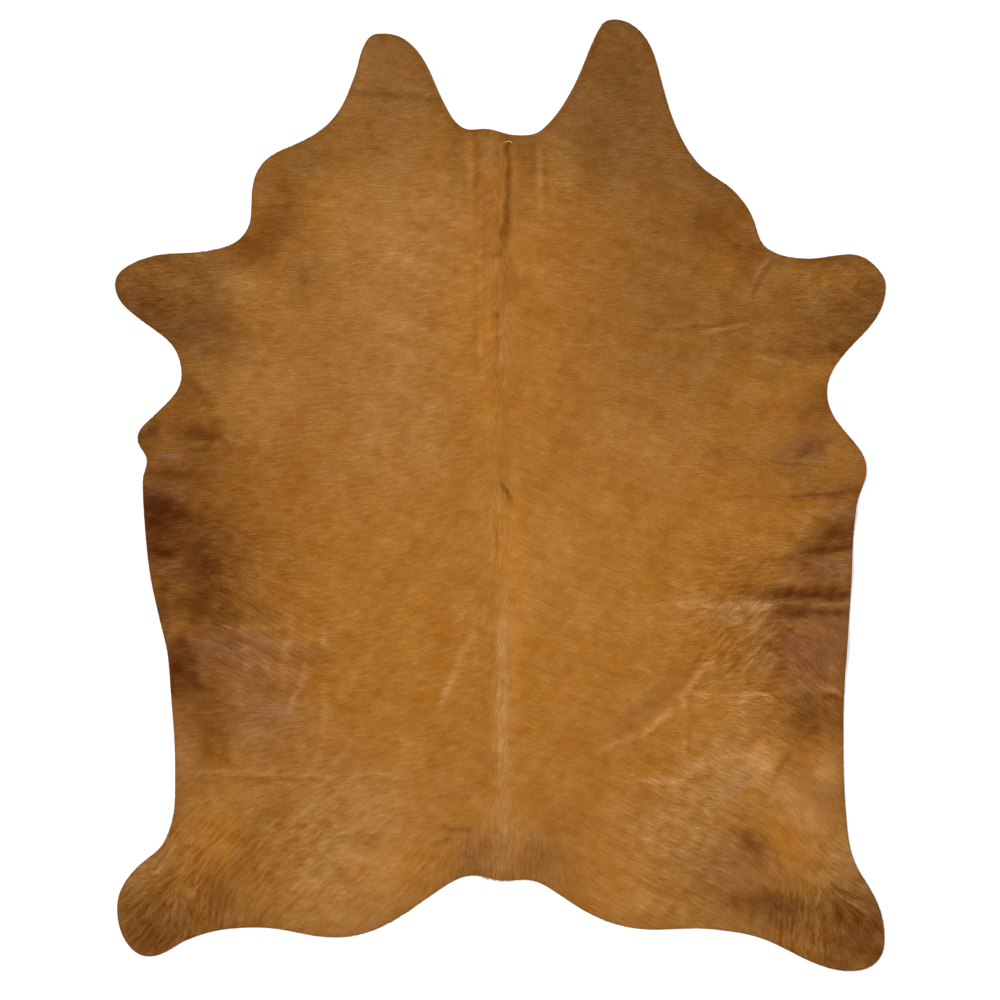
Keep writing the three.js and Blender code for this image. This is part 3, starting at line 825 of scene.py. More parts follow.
# Mostly dark hair; the lines in furrows and folds are painted shade, noted where they stand.
UMBER_AND_SHADE_STREAKS = (
    Streak("back mark", (-0.004, 0.037), (0.0225, -0.018), 0.005, 0.6),
    Streak("back mark", (-0.024, 0.04), (-0.019, 0.01), 0.004, 0.25),
    Streak("back", (-0.01, -0.06), (-0.008, -0.14), 0.004, 0.2),
    Streak("croup", (-0.02, -0.3), (-0.017, -0.48), 0.008, 0.18),
    Streak("croup", (-0.038, -0.38), (-0.035, -0.74), 0.012, 0.1),
    Streak("left armpit", (-0.725, 0.28), (-0.655, 0.19), 0.012, 0.42),
    Streak("left belly edge", (-0.83, -0.007), (-0.735, -0.022), 0.008, 0.3),
    # Painted shade in the left belly furrow and hollow and the left elbow furrow: this streak and the next
    # two.
    Streak("left belly furrow", (-0.84, -0.125), (-0.74, -0.138), 0.011, 0.7),
    Streak("left belly hollow", (-0.83, 0.05), (-0.635, 0.047), 0.015, 0.42),
    Streak("left elbow furrow", (-0.727, 0.106), (-0.667, 0.106), 0.006, 0.4),
    Streak("left elbow stripe", (-0.745, 0.152), (-0.63, 0.127), 0.014, 0.36),
    Streak("left haunch", (-0.36, -0.785), (-0.27, -0.793), 0.003, 0.34, bow=0.003),
    Streak("left haunch", (-0.35, -0.797), (-0.28, -0.807), 0.003, 0.28, bow=0.003),
    Streak("left haunch", (-0.475, -0.906), (-0.38, -0.921), 0.003, 0.2, bow=0.004),
    Streak("left hind leg", (-0.757, -0.86), (-0.812, -0.907), 0.004, 0.4),
    Streak("left hind leg", (-0.747, -0.878), (-0.793, -0.93), 0.005, 0.38),
    Streak("left hind leg", (-0.727, -0.915), (-0.721, -0.975), 0.005, 0.35),
    Streak("left neck flap", (-0.44, 0.94), (-0.05, 0.908), 0.007, 0.2),
    Streak("left of the tail", (-0.1, -0.828), (-0.048, -0.845), 0.006, 0.42),
    Streak("left of the tail", (-0.16, -0.812), (-0.11, -0.788), 0.006, 0.4),
    Streak("left of the tail", (-0.15, -0.768), (-0.055, -0.773), 0.005, 0.45),
    # Painted shade along the left shoulder line.
    Streak("left shoulder line", (-0.57, 0.668), (-0.43, 0.67), 0.006, 0.2),
    Streak("left thigh edge", (-0.647, -0.562), (-0.62, -0.632), 0.006, 0.35),
    # Painted shade in the left thigh furrow.
    Streak("left thigh furrow", (-0.64, -0.651), (-0.39, -0.659), 0.005, 0.19),
    # Painted shade below the raised neck ridge and in the troughs beside it: this streak and the next two.
    Streak("neck", (-0.034, 0.557), (0.012, 0.556), 0.003, 0.42),
    Streak("neck", (-0.059, 0.93), (-0.054, 0.63), 0.007, 0.42),
    Streak("neck", (0.009, 0.93), (0.002, 0.53), 0.011, 0.6, bow=0.012),
    # Painted shade in the right armpit and belly furrows: this streak and the next two.
    Streak("right armpit furrow", (0.6, 0.335), (0.7, 0.325), 0.006, 0.3),
    Streak("right belly furrow", (0.665, -0.001), (0.83, 0.012), 0.006, 0.42, bow=-0.003),
    Streak("right belly furrow", (0.48, -0.008), (0.72, 0.001), 0.004, 0.18),
    Streak("right belly", (0.88, -0.113), (0.69, -0.133), 0.009, 0.68),
    Streak("right belly", (0.75, -0.12), (0.635, -0.153), 0.01, 0.32),
    # Painted shade above and below the right cross fold: this streak and the next two.
    Streak("right cross fold", (0.57, -0.233), (0.885, -0.233), 0.013, 0.8),
    Streak("right cross fold", (0.59, -0.271), (0.87, -0.27), 0.014, 0.66),
    Streak("right cross fold", (0.57, -0.219), (0.875, -0.218), 0.012, 0.5),
    # Painted shade in the right elbow furrow.
    Streak("right elbow furrow", (0.61, 0.08), (0.74, 0.07), 0.004, 0.4, bow=-0.002),
    Streak("right elbow", (0.675, 0.08), (0.78, 0.14), 0.012, 0.4, bow=0.004),
    Streak("right flank", (0.728, -0.41), (0.757, -0.43), 0.005, 0.45, bow=0.003),
    Streak("right flank", (0.693, -0.448), (0.725, -0.472), 0.006, 0.5, bow=-0.003),
    Streak("right flank", (0.735, -0.468), (0.795, -0.464), 0.006, 0.5, bow=0.004),
    # Painted shade in the right haunch furrow.
    Streak("right haunch furrow", (0.31, -0.668), (0.4, -0.673), 0.005, 0.25),
    Streak("right haunch", (0.41, -0.664), (0.5, -0.651), 0.004, 0.3, bow=0.003),
    Streak("right hind leg root", (0.48, -0.922), (0.72, -0.957), 0.018, 0.34),
    Streak("right hind leg", (0.75, -0.891), (0.87, -0.957), 0.004, 0.34),
    Streak("right hind leg", (0.755, -0.903), (0.86, -0.993), 0.004, 0.34),
    Streak("right hind leg", (0.745, -0.905), (0.82, -1.02), 0.004, 0.3),
    Streak("right hind leg", (0.757, -0.892), (0.81, -0.926), 0.004, 0.4),
    Streak("right hind leg", (0.79, -0.945), (0.83, -0.98), 0.005, 0.35),
    Streak("right hind leg", (0.773, -0.965), (0.775, -1.02), 0.004, 0.3),
    # Painted shade in the right leg and shoulder furrows: this streak and the next two.
    Streak("right leg furrow", (0.635, 0.552), (0.572, 0.445), 0.004, 0.32, bow=-0.003),
    Streak("right shoulder furrow", (0.43, 0.385), (0.56, 0.409), 0.004, 0.42, bow=-0.003),
    Streak("right shoulder furrow", (0.31, 0.382), (0.45, 0.381), 0.005, 0.18),
    Streak("right thigh edge", (0.622, -0.68), (0.68, -0.585), 0.006, 0.42, bow=0.004),
    # Painted shade beside the raised strip at the withers.
    Streak("withers", (-0.012, 0.42), (-0.008, 0.33), 0.004, 0.15),
)
# Painted sheen: thin highlights along folds and hair locks.
PAINTED_SHEEN_STREAKS = (
    Streak("left shoulder", (-0.46, 0.679), (-0.36, 0.677), 0.003, 0.2),
    Streak("right flank", (0.745, -0.398), (0.785, -0.41), 0.004, 0.35, bow=0.003),
    Streak("right flank", (0.735, -0.446), (0.79, -0.456), 0.004, 0.35, bow=0.003),
    Streak("right haunch", (0.29, -0.684), (0.41, -0.66), 0.005, 0.22, bow=0.004),
    Streak("right haunch", (0.37, -0.672), (0.505, -0.61), 0.006, 0.24, bow=-0.004),
    Streak("right haunch", (0.44, -0.628), (0.6, -0.6), 0.005, 0.22, bow=0.004),
    Streak("right hind leg", (0.75, -0.9), (0.86, -0.975), 0.003, 0.16),
)

TINT_MARKS = (
    TintMarks(Tint.GOLD, GOLD_PATCHES, GOLD_STREAKS),
    TintMarks(Tint.FAWN, FAWN_PATCHES, FAWN_STREAKS),
    TintMarks(Tint.RUST, RUST_AND_SHEEN_PATCHES, RUST_STREAKS),
    TintMarks(Tint.OLIVE, OLIVE_PATCHES, OLIVE_STREAKS),
    TintMarks(Tint.UMBER, UMBER_AND_SHADE_PATCHES, UMBER_AND_SHADE_STREAKS),
    TintMarks(Tint.CREST, PAINTED_SHEEN_PATCHES, PAINTED_SHEEN_STREAKS),
)

# Each crease raises a ridge in the sheet, and its pale share paints a highlight along the crest.
CREASES = (
    Crease("neck, left", (-0.075, 0.84), (-0.072, 0.655), 0.005, 0.0014, 0.04),
    Crease("neck, middle", (-0.022, 0.85), (-0.016, 0.56), 0.024, 0.0018, 0.0),
    Crease("neck, middle edge", (0.004, 0.8), (-0.002, 0.6), 0.003, 0.0006, 0.14, bow=0.006),
    Crease("neck, right", (0.088, 0.82), (0.092, 0.645), 0.005, 0.0012, 0.2, bow=0.002),
    Crease("neck, right, faint", (0.033, 0.82), (0.035, 0.7), 0.004, 0.0006, 0.08),
    Crease("storage fold, left of the withers", (-0.045, 0.735), (-0.045, 0.215), 0.003, 0.0008, 0.26),
    Crease("back, left of the spine", (-0.022, 0.01), (-0.018, -0.2), 0.004, 0.0008, 0.2),
    Crease("croup, left of the spine", (-0.037, -0.235), (-0.038, -0.305), 0.004, 0.0006, 0.15),
    Crease("croup, bright line", (0.007, -0.24), (0.005, -0.7), 0.016, 0.0004, 0.2),
    Crease("spine", (0.004, 0.22), (0.004, -0.87), 0.013, 0.0012, 0.04, bow=0.003),
    Crease("left slanting fold", (-0.056, -0.305), (-0.147, -0.515), 0.009, 0.0016, 0.34, bow=-0.008),
    Crease("left slanting fold, short", (-0.053, -0.354), (-0.061, -0.402), 0.005, 0.001, 0.18),
    Crease("right loin smear", (0.1, -0.293), (0.165, -0.26), 0.008, 0.0008, 0.16),
    Crease("right cross fold", (0.45, -0.2515), (0.9, -0.2515), 0.0024, 0.001, 0.15),
    Crease("right cross fold, ruffled", (0.44, -0.25), (0.625, -0.256), 0.009, 0.0012, 0.35, bow=-0.002),
    Crease("right cross fold, faint", (0.32, -0.256), (0.45, -0.25), 0.007, 0.001, 0.18),
    Crease("left cross fold", (-0.7, -0.303), (-0.46, -0.306), 0.005, 0.0014, 0.14),
    Crease("left cross fold, pale end", (-0.387, -0.304), (-0.328, -0.308), 0.007, 0.001, 0.24),
    Crease("right thigh fold", (0.43, -0.457), (0.65, -0.461), 0.0045, 0.0012, 0.36),
    Crease("right thigh fold, outer", (0.61, -0.46), (0.8, -0.455), 0.006, 0.0014, 0.07),
    Crease("left haunch line", (-0.348, -0.641), (-0.2, -0.652), 0.006, 0.0008, 0.12),
    Crease("left thigh fold", (-0.755, -0.638), (-0.36, -0.652), 0.005, 0.001, 0.16, bow=0.002),
    Crease("right long fold", (0.42, -0.535), (0.422, -0.605), 0.006, 0.0012, 0.26),
    Crease("left long fold", (-0.41, -0.312), (-0.408, -0.352), 0.005, 0.001, 0.3),
    Crease("left long fold, low", (-0.41, -0.445), (-0.408, -0.57), 0.006, 0.0008, 0.16),
    Crease("right slanting fold, top", (0.51, -0.365), (0.425, -0.462), 0.008, 0.0018, 0.36, bow=-0.004),
    Crease("right slanting fold, bend", (0.42, -0.455), (0.428, -0.495), 0.007, 0.0014, 0.32),
    Crease("right slanting fold, middle", (0.397, -0.494), (0.325, -0.555), 0.008, 0.0018, 0.5, bow=0.003),
    Crease("right slanting fold, end", (0.32, -0.558), (0.215, -0.6), 0.008, 0.0012, 0.18, bow=-0.003),
    Crease("right slanting swell", (0.41, -0.425), (0.235, -0.56), 0.026, 0.002, 0.0, bow=0.004),
    Crease("right haunch swirl", (0.297, -0.66), (0.39, -0.65), 0.006, 0.001, 0.22, bow=-0.006),
    Crease("right haunch edge", (0.408, -0.69), (0.47, -0.618), 0.008, 0.001, 0.26, bow=0.014),
    Crease("left flank fold", (-0.446, -0.38), (-0.494, -0.507), 0.009, 0.0016, 0.34, bow=0.003),
    Crease("left flank fold, short", (-0.483, -0.31), (-0.507, -0.42), 0.007, 0.001, 0.26),
    Crease("hair line, left back", (-0.242, 0.507), (-0.124, 0.496), 0.003, 0.0004, 0.12),
    Crease("hair line, left neck", (-0.209, 0.646), (-0.117, 0.639), 0.005, 0.0004, 0.12),
    Crease("hair line, withers", (-0.098, 0.3755), (0.059, 0.375), 0.003, 0.0004, 0.12),
    Crease("hair line, left ribs", (-0.2555, 0.336), (-0.126, 0.3245), 0.003, 0.0004, 0.12),
    Crease("hair line, left ribs, low", (-0.232, 0.2875), (-0.126, 0.2805), 0.003, 0.0004, 0.1),
    Crease("hair line, right ribs", (0.0775, 0.3475), (0.2535, 0.3475), 0.003, 0.0004, 0.12),
    Crease("hair line, right back", (0.142, 0.5235), (0.235, 0.5235), 0.003, 0.0004, 0.11),
    Crease("hair line, right neck", (0.082, 0.72), (0.184, 0.72), 0.003, 0.0004, 0.12),
    Crease("hair line, neck edge", (0.105, 0.8195), (0.161, 0.815), 0.003, 0.0004, 0.12),
    Crease("hair line, right flap", (0.184, 0.771), (0.244, 0.794), 0.003, 0.0004, 0.12),
    Crease("hair line, nape", (0.031, 0.623), (0.161, 0.623), 0.003, 0.0004, 0.11),
    Crease("left shoulder line", (-0.41, 0.672), (-0.373, 0.668), 0.004, 0.0008, 0.25),
    Crease("right shoulder wrinkle", (0.45, 0.374), (0.585, 0.4), 0.005, 0.002, 0.22, bow=-0.003),
    Crease("right shoulder wrinkle, low", (0.572, 0.328), (0.662, 0.3), 0.006, 0.0016, 0.15),
    Crease("right armpit wrinkle", (0.622, 0.555), (0.566, 0.452), 0.005, 0.0014, 0.12, bow=-0.002),
    Crease("right elbow wrinkle", (0.65, 0.078), (0.82, 0.069), 0.005, 0.002, 0.1, bow=0.002),
    Crease("right belly wrinkle", (0.623, 0.002), (0.8, 0.016), 0.006, 0.0018, 0.04, bow=-0.004),
    Crease("left elbow wrinkle", (-0.722, 0.1175), (-0.643, 0.12), 0.004, 0.0018, 0.1),
    Crease("left elbow wrinkle, low", (-0.81, 0.094), (-0.73, 0.088), 0.005, 0.0014, 0.14),
    Crease("left belly crest", (-0.81, 0.018), (-0.7, 0.004), 0.011, 0.002, 0.07),
)

RUFFLES = (
    Ruffle("right flank whorl", 0.56, -0.26, 0.11, 0.9),
    Ruffle("right flank", 0.58, -0.39, 0.12, 0.8),
    Ruffle("right thigh", 0.68, -0.47, 0.12, 0.7),
    Ruffle("right haunch", 0.47, -0.68, 0.13, 0.5),
    Ruffle("right haunch, lower", 0.42, -0.85, 0.15, 0.6),
    Ruffle("right hind leg", 0.78, -0.95, 0.16, 1.0),
    Ruffle("left flank whorl", -0.62, -0.2, 0.13, 0.65),
    Ruffle("left flank", -0.56, -0.38, 0.13, 0.55),
    Ruffle("left haunch", -0.45, -0.8, 0.18, 0.4),
    Ruffle("left hind leg", -0.79, -0.93, 0.15, 1.0),
    Ruffle("left foreleg", -0.78, 0.46, 0.14, 0.5),
    Ruffle("right foreleg", 0.79, 0.45, 0.14, 0.5),
    Ruffle("left belly", -0.76, -0.1, 0.12, 0.6),
    Ruffle("right belly", 0.76, -0.12, 0.1, 0.5),
)

GUIDES = (
    Guide("left of the neck", -0.12, 0.73, 188),
    Guide("left of the withers", -0.12, 0.4, 192),
    Guide("left of the ribs", -0.12, 0.12, 196),
    Guide("left of the loin", -0.12, -0.14, 200),
    Guide("left of the croup", -0.12, -0.4, 194),
    Guide("left of the rump", -0.12, -0.66, 198),
    Guide("right of the neck", 0.12, 0.73, 352),
    Guide("right of the withers", 0.12, 0.4, 348),
    Guide("right of the ribs", 0.12, 0.12, 344),
    Guide("right of the loin", 0.12, -0.14, 340),
    Guide("right of the croup", 0.12, -0.4, 346),
    Guide("right of the rump", 0.12, -0.66, 342),
    Guide("tail", 0.0, -0.84, 270),
    Guide("left neck flap tip", -0.27, 1.03, 160),
    Guide("left neck flap", -0.24, 0.89, 178),
    Guide("left neck", -0.23, 0.75, 182),
    Guide("left shoulder", -0.49, 0.71, 182),
    Guide("left foreleg root", -0.63, 0.5, 182),
    Guide("left foreleg tip", -0.83, 0.49, 182),
    Guide("left armpit", -0.68, 0.29, 186),
    Guide("left ribs, upper", -0.28, 0.5, 185),
    Guide("left ribs", -0.33, 0.17, 188),
    Guide("left elbow", -0.76, 0.13, 184),
    Guide("left belly", -0.76, -0.08, 190),
    Guide("left loin", -0.28, -0.15, 195),
    Guide("left flank whorl", -0.58, -0.33, 150),
    Guide("left flank rim", -0.73, -0.4, 175),
    Guide("left rump", -0.23, -0.52, 198),
    Guide("left thigh", -0.63, -0.64, 200),
    Guide("left haunch", -0.39, -0.8, 203),
    Guide("left rump rim", -0.37, -0.97, 212),
    Guide("left hock", -0.72, -0.8, 228),
    Guide("left hind leg, outer", -0.82, -0.89, 205),
    Guide("left hind leg tip", -0.83, -0.99, 228),
    Guide("left hind leg, inner", -0.72, -0.97, 262),
    Guide("right neck flap tip", 0.28, 1.05, 20),
    Guide("right neck flap", 0.25, 0.89, 2),
    Guide("right neck", 0.23, 0.75, 358),
    Guide("right shoulder", 0.49, 0.68, 358),
    Guide("right foreleg root", 0.65, 0.49, 358),
    Guide("right foreleg tip", 0.84, 0.47, 355),
    Guide("right armpit", 0.69, 0.29, 352),
    Guide("right ribs, upper", 0.28, 0.5, 355),
    Guide("right ribs", 0.32, 0.17, 352),
    Guide("right elbow", 0.79, 0.08, 352),
    Guide("right belly", 0.77, -0.1, 350),
    Guide("right loin", 0.28, -0.15, 345),
    Guide("right flank whorl", 0.57, -0.33, 30),
    Guide("right flank rim", 0.76, -0.38, 300),
    Guide("right cross fold, above", 0.72, -0.205, 25),
    Guide("right cross fold, below", 0.72, -0.29, 330),
    Guide("right rump", 0.23, -0.52, 342),
    Guide("right thigh", 0.62, -0.61, 340),
    Guide("right haunch", 0.42, -0.8, 340),
    Guide("right rump rim", 0.37, -0.97, 332),
    Guide("right hock", 0.72, -0.75, 310),
    Guide("right hind leg, outer", 0.84, -0.91, 335),
    Guide("right hind leg tip", 0.84, -1.02, 305),
    Guide("right hind leg, inner", 0.73, -0.98, 268),
)

RUDDY = (Grain(0.05, 16), Grain(0.022, 17))
WANDERS = (
    Wander(Tint.RUST, 0.06, 0.06, 0.4, RUDDY),
    Wander(Tint.GOLD, 0.09, 0.08, 0.5, RUDDY),
    Wander(Tint.FAWN, 0.03, 0.03, 0.2, (Grain(0.07, 18),)),
)


@dataclass
class Rim:
    """The hide's outline, read from its solid as a dense closed line.

    Attributes:
        points: Places along the rim, as (x, y) rows.
        inward: Unit vectors from them into the hide.
        tree: Search for the nearest of them.
        surface: Search tree of the solid's whole surface.
        inset: How far inside the rim heights are read, clear of the wall.
    """

    points: np.ndarray
    inward: np.ndarray
    tree: KDTree
    surface: BVHTree
    inset: float = 0.004

    @classmethod
    def read(cls, node: bpy.types.Object, step: float = 0.0025, steep: float = 0.5) -> Rim:
        """Find the edge between the solid's top and its wall.

        Args:
            node: The hide's CAD object, which is only read.
            step: Spacing of the points along the rim.
            steep: Upward part of a normal that tells the top from the wall.

        Returns:
            The rim.
        """
        bm = bmesh.new()
        bm.from_mesh(node.data)
        bmesh.ops.remove_doubles(bm, verts=bm.verts, dist=1e-5)
        bm.normal_update()
        points: list[Vector] = []
        inward: list[Vector] = []
        for edge in bm.edges:
            tops = [f for f in edge.link_faces if f.normal.z > steep]
            walls = [f for f in edge.link_faces if abs(f.normal.z) < steep]
            if not tops or not walls:
                continue
            first, second = (v.co.xy for v in edge.verts)
            into = -walls[0].normal.xy.normalized()
            pieces = max(1, math.ceil((second - first).length / step))
            for i in range(pieces):
                points.append(first.lerp(second, (i + 0.5) / pieces))
                inward.append(into)
        tree = KDTree(len(points))
        for i, place in enumerate(points):
            tree.insert(place.to_3d(), i)
        tree.balance()
        surface = BVHTree.FromBMesh(bm)
        bm.free()
        return cls(np.array(points), np.array(inward), tree, surface)

    def nearest(self, x: float, y: float) -> Spot:
        """The rim's place that is nearest to a point."""
        place = self.tree.find((x, y, 0.0))[0]
        return place.x, place.y

    def depth(self, x: np.ndarray, y: np.ndarray) -> np.ndarray:
        """Measure how far inside the rim each point is.

        Args:
            x: Points across the hide.
            y: Points along the hide.

        Returns:
            Distances, below zero outside the hide.
        """
        found = [self.tree.find((a, b, 0.0)) for a, b in zip(x.tolist(), y.tolist())]
        index = np.array([f[1] for f in found])
        distance = np.array([f[2] for f in found])
        aside = (x - self.points[index, 0]) * self.inward[index, 0]
        aside += (y - self.points[index, 1]) * self.inward[index, 1]
        return np.where(aside < 0.0, -distance, distance)

    def top(self, x: float, y: float) -> float:
        """Read the height of the solid's top, a little inside the rim.

        Args:
            x: Across the hide.
            y: Along the hide.

        Returns:
            The height above the floor.
        """
        _, index, distance = self.tree.find((x, y, 0.0))
        pull = max(0.0, self.inset - distance)
        start = Vector((x + pull * self.inward[index, 0], y + pull * self.inward[index, 1], 1.0))
        hit = self.surface.ray_cast(start, Vector((0.0, 0.0, -1.0)))[0]
        return hit.z if hit else 0.0


@dataclass(frozen=True)
class Flow:
    """The way the hair lies over the whole hide.

    Attributes:
        guides: Points where it is known.
        ruffles: Areas where it is loose.
        reach: Distance within which one guide rules.
        ridge: Half the width of the strip along the spine, where it lies straight back.
    """

    guides: tuple[Guide, ...] = GUIDES
    ruffles: tuple[Ruffle, ...] = RUFFLES
    reach: float = 0.03
    ridge: float = 0.02

    def lie(self, x: np.ndarray, y: np.ndarray) -> np.ndarray:
        """Blend the guides at each point.

        Args:
            x: Points across the hide.
            y: Points along the hide.

        Returns:
            Unit (x, y) rows.
        """
        total = np.zeros((len(x), 2))
        for guide in self.guides:
            square = (x - guide.x) ** 2 + (y - guide.y) ** 2 + self.reach**2
            weight = 1.0 / (square * square)
            angle = math.radians(guide.heading)
            total[:, 0] += weight * math.cos(angle)
            total[:, 1] += weight * math.sin(angle)
        total /= np.linalg.norm(total, axis=1, keepdims=True)
        spine = np.exp(-((x / self.ridge) ** 2))
        total *= 1.0 - spine[:, None]
        total[:, 1] -= spine
        return total / np.linalg.norm(total, axis=1, keepdims=True)

    def looseness(self, x: np.ndarray, y: np.ndarray) -> np.ndarray:
        """Work out how loose the hair is at each point.

        Args:
            x: Points across the hide.
            y: Points along the hide.

        Returns:
            0 where it lies sleek, up to 1 where it stands in locks.
        """
        sleek = np.ones_like(x)
        for ruffle in self.ruffles:
            square = ((x - ruffle.x) ** 2 + (y - ruffle.y) ** 2) / ruffle.reach**2
            sleek *= 1.0 - ruffle.strength * np.exp(-square)
        return 1.0 - sleek


@dataclass(frozen=True)
class DyeAndLight:
    """How the coat's colour drifts over the hide, painted sheen and shade included.

    Attributes:
        tints_and_light: Its areas and lines of colour, tint by tint, painted sheen and shade among them.
        creases: Its creases, whose crests take a painted highlight.
        wanders: Its tints that come and go everywhere.
        bend_x: Coarse and fine noise that bends the edges of the patches across the hide.
        bend_y: The same along it.
        follow: How much of the bending the lines follow.
        blotch: Noise in the strength of the patches.
        falter: Noise in the strength of the streaks.
        sheen_noise: Noise in the strength of the creases' painted highlight.
        most: The greatest share of a tint that one patch or streak gives.
        most_sheen: The greatest share of painted highlight that one crease gives.
        rim_dark: Depth of the darker band along the rim, the dark cut edge together with painted shade
            where the edge bends down.
        rim_umber_and_shade: Share of umber on the rim itself.
        rim_olive: Share of olive there.
        rim_olive_reach: How many times deeper than the dark hair the olive reaches.
    """

    tints_and_light: tuple[TintMarks, ...] = TINT_MARKS
    creases: tuple[Crease, ...] = CREASES
    wanders: tuple[Wander, ...] = WANDERS
    bend_x: tuple[Grain, ...] = (Grain(0.06, 11, 0.006), Grain(0.02, 12, 0.0036))
    bend_y: tuple[Grain, ...] = (Grain(0.06, 13, 0.006), Grain(0.02, 14, 0.0036))
    follow: float = 0.4
    blotch: Grain = Grain(0.035, 15, 0.1)
    falter: Grain = Grain(0.022, 19, 0.2)
    sheen_noise: Grain = Grain(0.012, 20, 0.5)
    most: float = 0.95
    most_sheen: float = 0.9
    rim_dark: float = 0.006
    rim_umber_and_shade: float = 0.26
    rim_olive: float = 0.34
    rim_olive_reach: float = 4.0

    def shares(self, x: np.ndarray, y: np.ndarray, depth: np.ndarray) -> dict[Tint, np.ndarray]:
        """Work out how much of each tint the coat takes at each point.

        Args:
            x: Points across the hide.
            y: Points along the hide.
            depth: Their distances inside the rim.

        Returns:
            A share from 0 to 1 for every tint but the plain tan.
        """
        bend_x, bend_y = (sum(g.at(x, y) for g in bend) for bend in (self.bend_x, self.bend_y))
        areas = x + bend_x, y + bend_y
        lines = x + self.follow * bend_x, y + self.follow * bend_y
        blotch, falter = 1.0 + self.blotch.at(x, y), 1.0 + self.falter.at(x, y)
        ruffled_sheen = np.clip(1.0 + self.sheen_noise.at(x, y), 0.1, 2.0)
        left = {tint: np.ones_like(x) for tint in Tint if tint is not Tint.TAN}
        for marking in self.tints_and_light:
            self.lay(left[marking.tint], marking.patches, areas, blotch, self.most)
            self.lay(left[marking.tint], marking.streaks, lines, falter, self.most)
        # Painted highlight along the creases' crests.
        self.lay(left[Tint.CREST], self.creases, lines, ruffled_sheen, self.most_sheen)
        for wander in self.wanders:
            left[wander.tint] *= 1.0 - wander.share(x, y)
        # Darker towards the rim: umber at the rim itself is the dark cut edge together with painted shade
        # where the edge bends down; olive fades in from the rim.
        inside = np.maximum(depth, 0.0) / self.rim_dark
        left[Tint.UMBER] *= 1.0 - self.rim_umber_and_shade * np.exp(-inside * inside)
        left[Tint.OLIVE] *= 1.0 - self.rim_olive * np.exp(-inside / self.rim_olive_reach)
        return {tint: np.clip(1.0 - rest, 0.0, 1.0) for tint, rest in left.items()}

    @staticmethod
    def lay(
        left: np.ndarray,
        marks: tuple[Patch, ...] | tuple[Line, ...],
        spots: tuple[np.ndarray, np.ndarray],
        uneven: np.ndarray,
        most: float,
    ) -> None:
        """Lay marks of one tint over the coat.

        Args:
            left: What is left of the colours under the tint, which each mark lessens.
            marks: The patches, streaks or creases.
            spots: Points across and along the hide.
            uneven: How strong the marks are at each point.
            most: The greatest share that one mark gives.
        """
        x, y = spots
        for mark in marks:
            low_x, low_y, high_x, high_y = mark.box
            near = np.flatnonzero((x > low_x) & (y > low_y) & (x < high_x) & (y < high_y))
            share = mark.share(x[near], y[near]) * uneven[near]
            left[near] *= 1.0 - np.clip(share, 0.0, most)


